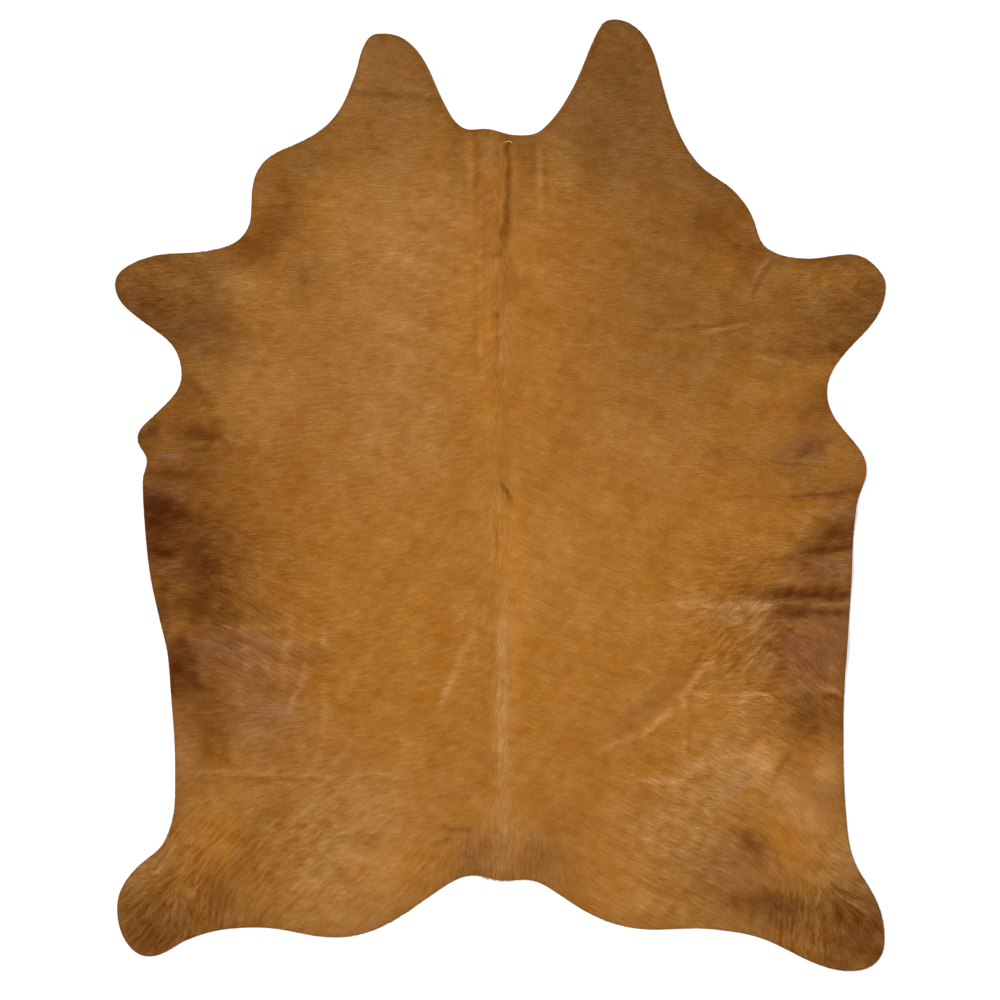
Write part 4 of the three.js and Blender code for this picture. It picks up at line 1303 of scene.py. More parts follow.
@dataclass(frozen=True)
class CoatColour:
    """Shader node group that mixes the coat's colour from its tints, painted sheen and shade among them.

    Attributes:
        title: The group's name.
        order: The tints in the order they are laid over the tan.
        sheen_and_shade_hue: How fast red, green and blue follow a strand's lightness, so that lighter
            strands turn paler as painted sheen and darker ones redder as painted shade between hairs.
        shade: Brightness of the darkest and the lightest strand.
        tips: Brightness of a strand at its root and at its tip; the darker root is painted shade deep in
            the coat.
        rough: Roughness of the darkest and the lightest strand.
    """

    title: str = "coat_colour"
    order: tuple[Tint, ...] = (Tint.GOLD, Tint.FAWN, Tint.RUST, Tint.OLIVE, Tint.UMBER, Tint.CREST)
    sheen_and_shade_hue: tuple[float, float, float] = (0.62, 1.13, 2.5)
    shade: tuple[float, float] = (0.5, 1.5)
    tips: tuple[float, float] = (0.88, 1.06)
    rough: tuple[float, float] = (0.62, 0.46)

    def group(self) -> bpy.types.NodeTree:
        """Build the group, or fetch it where it is built already.

        Returns:
            The node group, with Colour and Roughness outputs.
        """
        if self.title in bpy.data.node_groups:
            return bpy.data.node_groups[self.title]
        tree = bpy.data.node_groups.new(self.title, "ShaderNodeTree")
        for tint in self.order:
            tree.interface.new_socket(tint.name.title(), in_out="INPUT", socket_type="NodeSocketFloat")
        for label in ("Strand", "Along"):
            tree.interface.new_socket(label, in_out="INPUT", socket_type="NodeSocketFloat")
        tree.interface.new_socket("Colour", in_out="OUTPUT", socket_type="NodeSocketColor")
        tree.interface.new_socket("Roughness", in_out="OUTPUT", socket_type="NodeSocketFloat")
        inner = tree.nodes.new("NodeGroupInput")
        outer = tree.nodes.new("NodeGroupOutput")
        colour: bpy.types.NodeSocket | None = None
        for tint in self.order:
            mix = tree.nodes.new("ShaderNodeMix")
            mix.data_type = "RGBA"
            tree.links.new(inner.outputs[tint.name.title()], mix.inputs["Factor"])
            if colour is None:
                mix.inputs[MIX_UNDER].default_value = Tint.TAN.linear
            else:
                tree.links.new(colour, mix.inputs[MIX_UNDER])
            mix.inputs[MIX_OVER].default_value = tint.linear
            colour = mix.outputs[MIX_RESULT]
        shade = self.spread(tree, inner.outputs["Strand"], self.shade)
        # Darker towards the root, as painted shade deep in the coat.
        depth = self.spread(tree, inner.outputs["Along"], self.tips)
        # Lighter strands turn paler and darker ones redder, as painted sheen and painted shade between
        # hairs.
        sheen_and_shade_tinted = tree.nodes.new("ShaderNodeCombineXYZ")
        for channel, speed in zip(sheen_and_shade_tinted.inputs, self.sheen_and_shade_hue):
            curve = tree.nodes.new("ShaderNodeMath")
            curve.operation = "POWER"
            curve.inputs[1].default_value = speed
            tree.links.new(shade, curve.inputs[0])
            tree.links.new(curve.outputs[0], channel)
        lit = tree.nodes.new("ShaderNodeVectorMath")
        lit.operation = "MULTIPLY"
        tree.links.new(colour, lit.inputs[0])
        tree.links.new(sheen_and_shade_tinted.outputs[0], lit.inputs[1])
        scaled = tree.nodes.new("ShaderNodeVectorMath")
        scaled.operation = "SCALE"
        tree.links.new(lit.outputs[0], scaled.inputs[0])
        tree.links.new(depth, scaled.inputs["Scale"])
        tree.links.new(scaled.outputs[0], outer.inputs["Colour"])
        tree.links.new(self.spread(tree, inner.outputs["Strand"], self.rough), outer.inputs["Roughness"])
        return tree

    @staticmethod
    def spread(
        tree: bpy.types.NodeTree, source: bpy.types.NodeSocket, ends: tuple[float, float]
    ) -> bpy.types.NodeSocket:
        """Stretch a share from 0 to 1 over a range.

        Args:
            tree: The node tree.
            source: The share.
            ends: The values at 0 and at 1.

        Returns:
            The stretched value.
        """
        stretch = tree.nodes.new("ShaderNodeMapRange")
        stretch.inputs["To Min"].default_value, stretch.inputs["To Max"].default_value = ends
        tree.links.new(source, stretch.inputs["Value"])
        return stretch.outputs["Result"]


@dataclass(frozen=True)
class CoatFinish:
    """Hair of the coat, or the dense undercoat that shows between it.

    Attributes:
        title: The material's name.
        specular: Strength of its gloss.
        downy: Whether it is the undercoat, with a bumpy nap of its own.
        nap: Scale of that nap.
    """

    title: str
    specular: float = 0.02
    downy: bool = False
    nap: float = 420.0

    def material(self) -> bpy.types.Material:
        """Build the material.

        Returns:
            A material that reads the tint, painted light and strand attributes of its piece.
        """
        material = bpy.data.materials.new(self.title)
        material.use_nodes = True
        nodes, links = material.node_tree.nodes, material.node_tree.links
        shader = nodes["Principled BSDF"]
        mixed = nodes.new("ShaderNodeGroup")
        mixed.node_tree = CoatColour().group()
        tints_and_light = self.channels(nodes, links, "dye_dark")
        for name, source in zip(("Umber", "Rust", "Olive", "Gold"), tints_and_light):
            links.new(source, mixed.inputs[name])
        pale = self.channels(nodes, links, "dye_pale")
        for name, source in zip(("Fawn", "Crest", "Strand", "Along"), pale):
            links.new(source, mixed.inputs[name])
        links.new(mixed.outputs["Colour"], shader.inputs["Base Color"])
        links.new(mixed.outputs["Roughness"], shader.inputs["Roughness"])
        shader.inputs["Specular IOR Level"].default_value = self.specular
        if self.downy:
            place = nodes.new("ShaderNodeTexCoord")
            nap = nodes.new("ShaderNodeTexNoise")
            nap.inputs["Scale"].default_value = self.nap
            nap.inputs["Detail"].default_value = 3.0
            bump = nodes.new("ShaderNodeBump")
            bump.inputs["Strength"].default_value = 0.5
            bump.inputs["Distance"].default_value = 0.001
            links.new(place.outputs["Object"], nap.inputs["Vector"])
            links.new(nap.outputs["Fac"], bump.inputs["Height"])
            links.new(bump.outputs["Normal"], shader.inputs["Normal"])
        return material

    @staticmethod
    def channels(
        nodes: bpy.types.Nodes, links: bpy.types.NodeLinks, attribute: str
    ) -> list[bpy.types.NodeSocket]:
        """Split a colour attribute into its four channels.

        Args:
            nodes: The material's nodes.
            links: The material's links.
            attribute: Name of the attribute.

        Returns:
            Red, green, blue and alpha sockets.
        """
        read = nodes.new("ShaderNodeAttribute")
        read.attribute_name = attribute
        split = nodes.new("ShaderNodeSeparateColor")
        links.new(read.outputs["Color"], split.inputs["Color"])
        return [*split.outputs, read.outputs["Alpha"]]


@dataclass(frozen=True)
class LeatherFinish:
    """Brushed leather of the flesh side or of the cut edge, or the thread of the stitch.

    Attributes:
        title: The material's name.
        pale: The lighter of its two colours.
        dark: The darker of its two colours.
        nap: Scale of the brushed nap.
        mottle: Scale of the mottling.
    """

    title: str
    pale: Colour
    dark: Colour
    nap: float = 900.0
    mottle: float = 14.0

    def material(self) -> bpy.types.Material:
        """Build the material.

        Returns:
            A mottled, napped leather.
        """
        material = bpy.data.materials.new(self.title)
        material.use_nodes = True
        nodes, links = material.node_tree.nodes, material.node_tree.links
        shader = nodes["Principled BSDF"]
        place = nodes.new("ShaderNodeTexCoord")
        cloud = nodes.new("ShaderNodeTexNoise")
        cloud.inputs["Scale"].default_value = self.mottle
        cloud.inputs["Detail"].default_value = 6.0
        nap = nodes.new("ShaderNodeTexNoise")
        nap.inputs["Scale"].default_value = self.nap
        nap.inputs["Detail"].default_value = 3.0
        mix = nodes.new("ShaderNodeMix")
        mix.data_type = "RGBA"
        mix.inputs[MIX_UNDER].default_value = self.dark
        mix.inputs[MIX_OVER].default_value = self.pale
        rough = nodes.new("ShaderNodeMapRange")
        rough.inputs["To Min"].default_value = 0.75
        rough.inputs["To Max"].default_value = 0.95
        bump = nodes.new("ShaderNodeBump")
        bump.inputs["Strength"].default_value = 0.4
        bump.inputs["Distance"].default_value = 0.0006
        links.new(place.outputs["Object"], cloud.inputs["Vector"])
        links.new(place.outputs["Object"], nap.inputs["Vector"])
        links.new(cloud.outputs["Fac"], mix.inputs["Factor"])
        links.new(mix.outputs[MIX_RESULT], shader.inputs["Base Color"])
        links.new(nap.outputs["Fac"], rough.inputs["Value"])
        links.new(rough.outputs["Result"], shader.inputs["Roughness"])
        links.new(nap.outputs["Fac"], bump.inputs["Height"])
        links.new(bump.outputs["Normal"], shader.inputs["Normal"])
        shader.inputs["Specular IOR Level"].default_value = 0.2
        return material


def write_tints_and_light(
    mesh: bpy.types.Mesh, shares: dict[Tint, np.ndarray], strand: np.ndarray, along: np.ndarray
) -> None:
    """Store the coat's tints, painted sheen and shade among them, on a mesh, one value a vertex.

    Args:
        mesh: The mesh to dye.
        shares: The share of each tint at each vertex.
        strand: Lightness of each strand, from 0 to 1.
        along: Place along the strand, 0 at the root and 1 at the tip.
    """
    dark = [shares[t] for t in (Tint.UMBER, Tint.RUST, Tint.OLIVE, Tint.GOLD)]
    pale = [shares[Tint.FAWN], shares[Tint.CREST], strand, along]
    for name, columns in (("dye_dark", dark), ("dye_pale", pale)):
        layer = mesh.attributes.new(name, "FLOAT_COLOR", "POINT")
        layer.data.foreach_set("color", np.stack(columns, axis=1).astype(np.float32).ravel())


def line_up(bm: bmesh.types.BMesh) -> None:
    """Put a mesh's faces in order of place, since an extrusion makes them in a different order each run.

    Args:
        bm: The mesh.
    """
    middles = {face: face.calc_center_median() for face in bm.faces}
    row, column = 1e5, 1e2
    bm.faces.sort(key=lambda face: row * middles[face].y + column * middles[face].x + middles[face].z)


@dataclass
class Skin:
    """The tanned hide itself, one sheet of leather under the hair.

    Attributes:
        rim: The outline and the solid's surface.
        dye_and_light: The coat's colours, painted sheen and shade included.
        leather: Thickness of the sheet.
        pile: Depth of the coat above it.
        pitch: Size of its mesh.
        margin: Least distance of the grid's points from the rim, in pitches.
        weld: Distance within which points on the rim are joined, in pitches.
        ease: How many times the mesh beside the rim is smoothed.
        settle: How many times its folds are smoothed.
        ripple: Its own fine waves.
        gap: Least gap between the sheet and the floor.
        down: Noise in the lightness of the undercoat.
        down_height: Where along a hair its brightness is that of the undercoat, so the undercoat takes the
            painted shade near the roots.
    """

    rim: Rim
    dye_and_light: DyeAndLight
    leather: float = 0.002
    pile: float = 0.003
    pitch: float = 0.0078
    margin: float = 0.4
    weld: float = 0.2
    ease: int = 3
    settle: int = 20
    ripple: Grain = Grain(0.11, 21, 0.0003)
    gap: float = 0.0001
    down: Grain = Grain(0.012, 22, 0.1)
    down_height: float = 0.25

    def cut(self) -> bmesh.types.BMesh:
        """Cut a flat grid to the outline.

        Returns:
            The flat sheet, its boundary on the rim.
        """
        low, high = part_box(NODE)
        size = high - low
        bm = bmesh.new()
        columns, rows = round(size.x / self.pitch), round(size.y / self.pitch)
        bmesh.ops.create_grid(bm, x_segments=columns, y_segments=rows, size=0.5)
        bmesh.ops.scale(bm, vec=(size.x, size.y, 1.0), verts=bm.verts)
        bmesh.ops.translate(bm, vec=((low.x + high.x) / 2, (low.y + high.y) / 2, 0.0), verts=bm.verts)
        places = np.array([v.co.xy for v in bm.verts])
        depth = self.rim.depth(places[:, 0], places[:, 1])
        outside = [v for v, d in zip(bm.verts, depth) if d < self.margin * self.pitch]
        bmesh.ops.delete(bm, geom=outside, context="VERTS")
        self.trim(bm)
        edges = [e for e in bm.edges if e.is_boundary]
        grown = bmesh.ops.extrude_edge_only(bm, edges=edges)["geom"]
        border = [g for g in grown if isinstance(g, bmesh.types.BMVert)]
        for vert in border:
            vert.co.x, vert.co.y = self.rim.nearest(vert.co.x, vert.co.y)
        bmesh.ops.remove_doubles(bm, verts=border, dist=self.weld * self.pitch)
        near = {f for v in bm.verts if v.is_boundary for f in v.link_faces}
        ring = {v for f in near for v in f.verts if not v.is_boundary}
        for _ in range(self.ease):
            bmesh.ops.smooth_vert(
                bm, verts=list(ring), factor=0.5, use_axis_x=True, use_axis_y=True, use_axis_z=False
            )
        bmesh.ops.recalc_face_normals(bm, faces=bm.faces)
        if sum(f.normal.z for f in bm.faces) < 0.0:
            bmesh.ops.reverse_faces(bm, faces=bm.faces)
        line_up(bm)
        return bm

    @staticmethod
    def trim(bm: bmesh.types.BMesh) -> None:
        """Drop loose corners and pinched places of a cut grid.

        Args:
            bm: The cut grid.
        """
        while True:
            bad = [v for v in bm.verts if not v.link_faces or sum(e.is_boundary for e in v.link_edges) > 2]
            if not bad:
                return
            bmesh.ops.delete(bm, geom=bad, context="VERTS")

    def lay(self, bm: bmesh.types.BMesh) -> None:
        """Lay the sheet on the solid's folds and press the creases in.

        Args:
            bm: The flat sheet.
        """
        for vert in bm.verts:
            vert.co.z = self.rim.top(vert.co.x, vert.co.y) - self.pile
        for _ in range(self.settle):
            bmesh.ops.smooth_vert(
                bm, verts=bm.verts, factor=0.5, use_axis_x=False, use_axis_y=False, use_axis_z=True
            )
        places = np.array([v.co for v in bm.verts])
        x, y = places[:, 0], places[:, 1]
        relief = sum(crease.rise * crease.crest(x, y) for crease in self.dye_and_light.creases)
        relief = relief + self.ripple.at(x, y)
        for vert, height in zip(bm.verts, places[:, 2] + relief):
            vert.co.z = max(self.leather + self.gap, height)

    def make(self) -> bpy.types.Object:
        """Cut, lay and colour the sheet.

        Returns:
            The hide's sheet, hair side up.
        """
        bm = self.cut()
        self.lay(bm)
        mesh = bpy.data.meshes.new("hide_sheet")
        bm.to_mesh(mesh)
        bm.free()
        piece = bpy.data.objects.new("hide_sheet", mesh)
        bpy.context.scene.collection.objects.link(piece)
        places = np.array([v.co for v in mesh.vertices])
        x, y = places[:, 0], places[:, 1]
        strand = np.clip(0.5 + self.down.at(x, y), 0.0, 1.0)
        shares = self.dye_and_light.shares(x, y, self.rim.depth(x, y))
        # The undercoat is darkened like hair near the root, as painted shade between the hairs.
        write_tints_and_light(mesh, shares, strand, np.full(len(x), self.down_height))
        flesh = LeatherFinish("flesh_side", (0.62, 0.5, 0.36, 1.0), (0.47, 0.35, 0.23, 1.0))
        edge = LeatherFinish("cut_edge", (0.2, 0.1, 0.04, 1.0), (0.11, 0.05, 0.02, 1.0))
        for finish in (CoatFinish("undercoat", downy=True), flesh, edge):
            mesh.materials.append(finish.material())
        solid = piece.modifiers.new("leather", "SOLIDIFY")
        solid.thickness = self.leather
        solid.offset = -1.0
        solid.material_offset = 1
        solid.material_offset_rim = 2
        return piece


@dataclass
class Strands:
    """Where the coat's hairs stand and how they lie, one row a hair.

    Attributes:
        root: Where each leaves the skin.
        normal: The skin's normal there.
        lie: Unit vectors along the skin.
        length: How long each is.
        depth: Distances of the roots inside the rim.
        loose: How loose each is, from 0 to 1.
    """

    root: np.ndarray
    normal: np.ndarray
    lie: np.ndarray
    length: np.ndarray
    depth: np.ndarray
    loose: np.ndarray


@dataclass(frozen=True)
class Unevenness:
    """Noise over the coat that is stronger where the hair is loose.

    Attributes:
        what: What it makes uneven.
        grain: The noise.
        sleek: Its strength where the hair lies sleek.
        loose: What is added to that where it is loose.
        drawn: How far it is drawn out along the hair to each side, or 0 for round blotches.
        steps: How many readings are averaged along that way.
    """

    what: str
    grain: Grain
    sleek: float
    loose: float
    drawn: float = 0.0
    steps: int = 9

    def blotches(self, root: np.ndarray, loose: np.ndarray) -> np.ndarray:
        """The noise at each root, in round blotches."""
        return (self.sleek + self.loose * loose) * self.grain.at(root[:, 0], root[:, 1])

    def locks(self, strands: Strands) -> np.ndarray:
        """Draw the noise out along the lie of the hair.

        Args:
            strands: The hairs.

        Returns:
            The noise at each root, evened out to a spread of its strength.
        """
        total = np.zeros(len(strands.root))
        for step in np.linspace(-self.drawn, self.drawn, self.steps):
            place = strands.root + strands.lie * step
            total += self.grain.at(place[:, 0], place[:, 1])
        return (self.sleek + self.loose * strands.loose) * total / total.std()


STRAYS = (
    Unevenness("broad sway", Grain(0.06, 31), 0.08, 0.0),
    Unevenness("small swirls", Grain(0.024, 32), 0.04, 0.22),
)
SHADES = (
    Unevenness("fine hairs", Grain(0.0045, 33), 0.034, 0.015, drawn=0.014),
    Unevenness("locks", Grain(0.011, 34), 0.032, 0.1, drawn=0.013),
    Unevenness("wisps", Grain(0.024, 35), 0.01, 0.05, drawn=0.02),
    Unevenness("small mottling", Grain(0.03, 36), 0.064, 0.08),
    Unevenness("mottling", Grain(0.065, 37), 0.05, 0.08),
    Unevenness("broad mottling", Grain(0.13, 38), 0.06, 0.0),
)


@dataclass(frozen=True)
class Blade:
    """The shape of one hair of the coat, and how much hairs differ.

    Attributes:
        length: Usual length.
        longer: How much longer loose hair is, as a share.
        spread: How much lengths usually differ, as a share.
        shortest: Least length, as a share of the usual one.
        longest: Greatest length, as a share of the usual one.
        stub: Least share of its length that a hair cut at the rim keeps.
        width: Usual width of its widest place.
        widths: Least and greatest width, as shares of that.
        waist: Where along it is widest, as a share of its length.
        loft: Height of the topmost tips above the skin.
        looser: How much higher loose tips stand, as a share.
        waist_rise: Least and greatest height of the widest place, as shares of the loft.
        tip_rise: Least and greatest height of the tip, as shares of the loft.
        roll: Usual roll about its length, in radians, and what is added to it in loose hair.
        stray: Usual angle from its neighbours, and what is added to it in loose hair.
        aside: Usual distance by which its tip is bent aside.
        sink: How far its root is set into the skin.
        lowest: Least height of any corner above the floor.
    """

    length: float = 0.018
    longer: float = 0.4
    spread: float = 0.2
    shortest: float = 0.5
    longest: float = 1.5
    stub: float = 0.15
    width: float = 0.0013
    widths: tuple[float, float] = (0.8, 1.25)
    waist: float = 0.4
    loft: float = 0.0014
    looser: float = 1.2
    waist_rise: tuple[float, float] = (0.35, 0.8)
    tip_rise: tuple[float, float] = (0.2, 1.0)
    roll: tuple[float, float] = (0.16, 0.25)
    stray: tuple[float, float] = (0.05, 0.1)
    aside: float = 0.0015
    sink: float = 0.0002
    lowest: float = 0.0006


@dataclass
class Coat:
    """The hair, as flat tapered blades lying close over each other.

    Attributes:
        rim: The outline.
        dye_and_light: The coat's colours, painted sheen and shade included.
        flow: The way the hair lies.
        blade: The shape of a hair.
        count: How many blades stand for it.
        overhang: How far tips may pass the rim.
        tail: Middle of the tail's edge, where the tips are uneven.
        tail_reach: How far that edge goes to each side.
        tail_tuft: How far its tufts usually pass the rim.
        tail_full: How much of the edge has tufts, from 0 to 1.
        tail_grain: The noise that parts them.
        each: How much the lightness of single hairs differs.
        mingle: How far dyes stray to neighbouring hairs, and what is added to it in loose hair.
        areas: Names of the pieces it is split in, from the rump to the neck.
        seed: Number that fixes its unevenness.
    """

    rim: Rim
    dye_and_light: DyeAndLight
    flow: Flow
    blade: Blade = Blade()
    count: int = 390_000
    overhang: float = 0.0015
    tail: Spot = (-0.015, -0.884)
    tail_reach: float = 0.055
    tail_tuft: float = 0.0055
    tail_full: float = 0.6
    tail_grain: Grain = Grain(0.007, 39)
    each: float = 0.02
    mingle: tuple[float, float] = (0.001, 0.002)
    areas: tuple[str, ...] = ("coat_rump", "coat_loin", "coat_back", "coat_shoulders", "coat_neck")
    seed: int = 7

    def plant(self, skin: bpy.types.Object, rng: np.random.Generator) -> Strands:
        """Spread roots evenly over the hair side and comb them.

        Args:
            skin: The hide's sheet.
            rng: Source of the unevenness.

        Returns:
            The hairs, trimmed at the rim.
        """
        mesh = skin.data
        mesh.calc_loop_triangles()
        corners = np.empty(3 * len(mesh.loop_triangles), np.int32)
        mesh.loop_triangles.foreach_get("vertices", corners)
        corners = corners.reshape(-1, 3)
        places = np.empty(3 * len(mesh.vertices))
        mesh.vertices.foreach_get("co", places)
        places = places.reshape(-1, 3)
        normals = np.array([n.vector for n in mesh.vertex_normals])
        depths = self.rim.depth(places[:, 0], places[:, 1])
        first, second, third = (places[corners[:, i]] for i in range(3))
        areas = 0.5 * np.linalg.norm(np.cross(second - first, third - first), axis=1)
        total = np.cumsum(areas)
        picks = (np.arange(self.count) + rng.random(self.count)) / self.count * total[-1]
        chosen = corners[np.minimum(np.searchsorted(total, picks), len(corners) - 1)]
        outer, inner = np.sqrt(rng.random(self.count)), rng.random(self.count)
        weights = np.stack((1.0 - outer, outer * (1.0 - inner), outer * inner), axis=1)
        root = np.einsum("nk,nkd->nd", weights, places[chosen])
        normal = np.einsum("nk,nkd->nd", weights, normals[chosen])
        normal /= np.linalg.norm(normal, axis=1, keepdims=True)
        depth = np.einsum("nk,nk->n", weights, depths[chosen])
        loose = self.flow.looseness(root[:, 0], root[:, 1])
        lie = self.comb(root, normal, loose, rng)
        blade = self.blade
        uneven = np.clip(rng.normal(1.0, blade.spread, self.count), blade.shortest, blade.longest)
        length = blade.length * (1.0 + blade.longer * loose) * uneven
        strands = Strands(root, normal, lie, length, depth, loose)
        self.clip(strands, rng)
        return strands

    def clip(self, strands: Strands, rng: np.random.Generator) -> None:
        """Clip the hairs that would pass the rim too far.

        Args:
            strands: The hairs, whose lengths are changed.
            rng: Source of the unevenness.
        """
        near = np.flatnonzero(strands.depth < self.blade.longest * self.blade.length)
        root, depth, length = strands.root[near], strands.depth[near], strands.length[near]
        tips = root + strands.lie[near] * length[:, None]
        beyond = self.rim.depth(tips[:, 0], tips[:, 1])
        spare = self.overhang * rng.random(len(near)) + self.tufts(root)
        kept = (depth + spare) / np.maximum(depth - beyond, 1e-6)
        strands.length[near] *= np.where(beyond < -spare, np.clip(kept, self.blade.stub, 1.0), 1.0)

    def tufts(self, root: np.ndarray) -> np.ndarray:
        """Let the tips at the tail's edge pass the rim in small uneven tufts.

        Args:
            root: Roots near the rim.

        Returns:
            How far more each tip may pass it.
        """
        x, y = root[:, 0], root[:, 1]
        away = np.hypot(x - self.tail[0], y - self.tail[1]) / self.tail_reach
        uneven = np.clip(self.tail_full + self.tail_grain.at(x, y), 0.0, 1.2)
        return self.tail_tuft * uneven * np.clip(2.0 - 2.0 * away, 0.0, 1.0)

    def comb(
        self, root: np.ndarray, normal: np.ndarray, loose: np.ndarray, rng: np.random.Generator
    ) -> np.ndarray:
        """Turn each hair the way the coat lies, with its own small stray.

        Args:
            root: The hairs' roots.
            normal: The skin's normals there.
            loose: How loose the hairs are.
            rng: Source of the unevenness.

        Returns:
            Unit vectors along the skin.
        """
        flat = self.flow.lie(root[:, 0], root[:, 1])
        stray = sum(uneven.blotches(root, loose) for uneven in STRAYS)
        usual, added = self.blade.stray
        stray = stray + (usual + added * loose) * rng.normal(0.0, 1.0, len(root))
        cosine, sine = np.cos(stray), np.sin(stray)
        lie = np.zeros_like(root)
        lie[:, 0] = flat[:, 0] * cosine - flat[:, 1] * sine
        lie[:, 1] = flat[:, 0] * sine + flat[:, 1] * cosine
        lie -= normal * np.sum(lie * normal, axis=1, keepdims=True)
        return lie / np.linalg.norm(lie, axis=1, keepdims=True)

    def lightness(self, strands: Strands, rng: np.random.Generator) -> np.ndarray:
        """Give neighbouring hairs much the same lightness, in locks along the lie.

        Args:
            strands: The hairs.
            rng: Source of the unevenness.

        Returns:
            Lightness of each hair, from 0 to 1.
        """
        light = 0.5 + self.each * rng.normal(0.0, 1.0, len(strands.root))
        for shade in SHADES:
            if shade.drawn:
                light += shade.locks(strands)
            else:
                light += shade.blotches(strands.root, strands.loose)
        return np.clip(light, 0.0, 1.0)

    def blades(self, strands: Strands, rng: np.random.Generator) -> np.ndarray:
        """Shape the hairs as blades of four corners.

        Args:
            strands: The hairs.
            rng: Source of the unevenness.

        Returns:
            The corners of each blade: root, right, tip, left.
        """
        blade = self.blade
        column = (len(strands.root), 1)
        normal, lie = strands.normal, strands.lie
        side = np.cross(normal, lie)
        length = strands.length[:, None]
        short = length / blade.length
        loose = strands.loose[:, None]
        roll = (blade.roll[0] + blade.roll[1] * loose) * rng.normal(0.0, 1.0, column)
        half = 0.5 * blade.width * rng.uniform(*blade.widths, column) * np.clip(short, 0.5, 1.0)
        rise = blade.loft * (1.0 + blade.looser * loose) * np.minimum(short, 1.0)
        middle = strands.root + lie * length * blade.waist
        middle = middle + normal * rise * rng.uniform(*blade.waist_rise, column)
        tip = strands.root + lie * length
        tip = tip + normal * rise * rng.uniform(*blade.tip_rise, column)
        tip = tip + side * rng.normal(0.0, blade.aside, column) * short
        spread = (side * np.cos(roll) + normal * np.sin(roll)) * half
        root = strands.root - normal * blade.sink
        corners = np.stack((root, middle - spread, tip, middle + spread), axis=1)
        corners[:, :, 2] = np.maximum(corners[:, :, 2], blade.lowest)
        return corners

    def grow(self, skin: bpy.types.Object) -> list[bpy.types.Object]:
        """Grow and colour the whole coat.

        Args:
            skin: The hide's sheet.

        Returns:
            The coat's pieces, from the rump to the neck.
        """
        rng = np.random.default_rng(self.seed)
        strands = self.plant(skin, rng)
        corners = self.blades(strands, rng)
        light = self.lightness(strands, rng)
        root = strands.root
        mingle = (self.mingle[0] + self.mingle[1] * strands.loose)[:, None]
        scatter = mingle * rng.normal(0.0, 1.0, (len(root), 2))
        spots = (corners[:, :3, :2] + scatter[:, None]).reshape(-1, 2)
        shares = self.dye_and_light.shares(spots[:, 0], spots[:, 1], np.repeat(strands.depth, 3))
        finish = CoatFinish("coat_hair").material()
        order = np.argsort(root[:, 1], kind="stable")
        pieces = []
        for name, rows in zip(self.areas, np.array_split(order, len(self.areas))):
            mesh = self.weave(name, corners[rows])
            local = {t: share.reshape(-1, 3)[rows][:, (0, 1, 2, 1)].ravel() for t, share in shares.items()}
            # Place along each blade; the coat colour darkens towards the root as painted shade deep in the
            # coat.
            along = np.tile((0.0, 0.5, 1.0, 0.5), len(rows))
            write_tints_and_light(mesh, local, np.repeat(light[rows], 4), along)
            mesh.materials.append(finish)
            piece = bpy.data.objects.new(name, mesh)
            bpy.context.scene.collection.objects.link(piece)
            pieces.append(piece)
        return pieces

    @staticmethod
    def weave(name: str, corners: np.ndarray) -> bpy.types.Mesh:
        """Join blades into one mesh, two triangles a blade.

        Args:
            name: The mesh's name.
            corners: The four corners of each blade.

        Returns:
            The mesh, with a map of the hide seen from above for baking.
        """
        count = len(corners)
        fold = np.array((0, 1, 3, 1, 2, 3))
        loops = (4 * np.arange(count)[:, None] + fold).ravel().astype(np.int32)
        mesh = bpy.data.meshes.new(name)
        mesh.vertices.add(4 * count)
        mesh.vertices.foreach_set("co", corners.astype(np.float32).ravel())
        mesh.loops.add(len(loops))
        mesh.loops.foreach_set("vertex_index", loops)
        mesh.polygons.add(2 * count)
        mesh.polygons.foreach_set("loop_start", 3 * np.arange(2 * count, dtype=np.int32))
        mesh.update(calc_edges=True)
        flat = corners.reshape(-1, 3)[:, :2]
        low, high = flat.min(axis=0), flat.max(axis=0)
        over = (flat - low) / (high - low)
        baked = mesh.uv_layers.new(name="OFBake")
        baked.data.foreach_set("uv", over[loops].astype(np.float32).ravel())
        return mesh


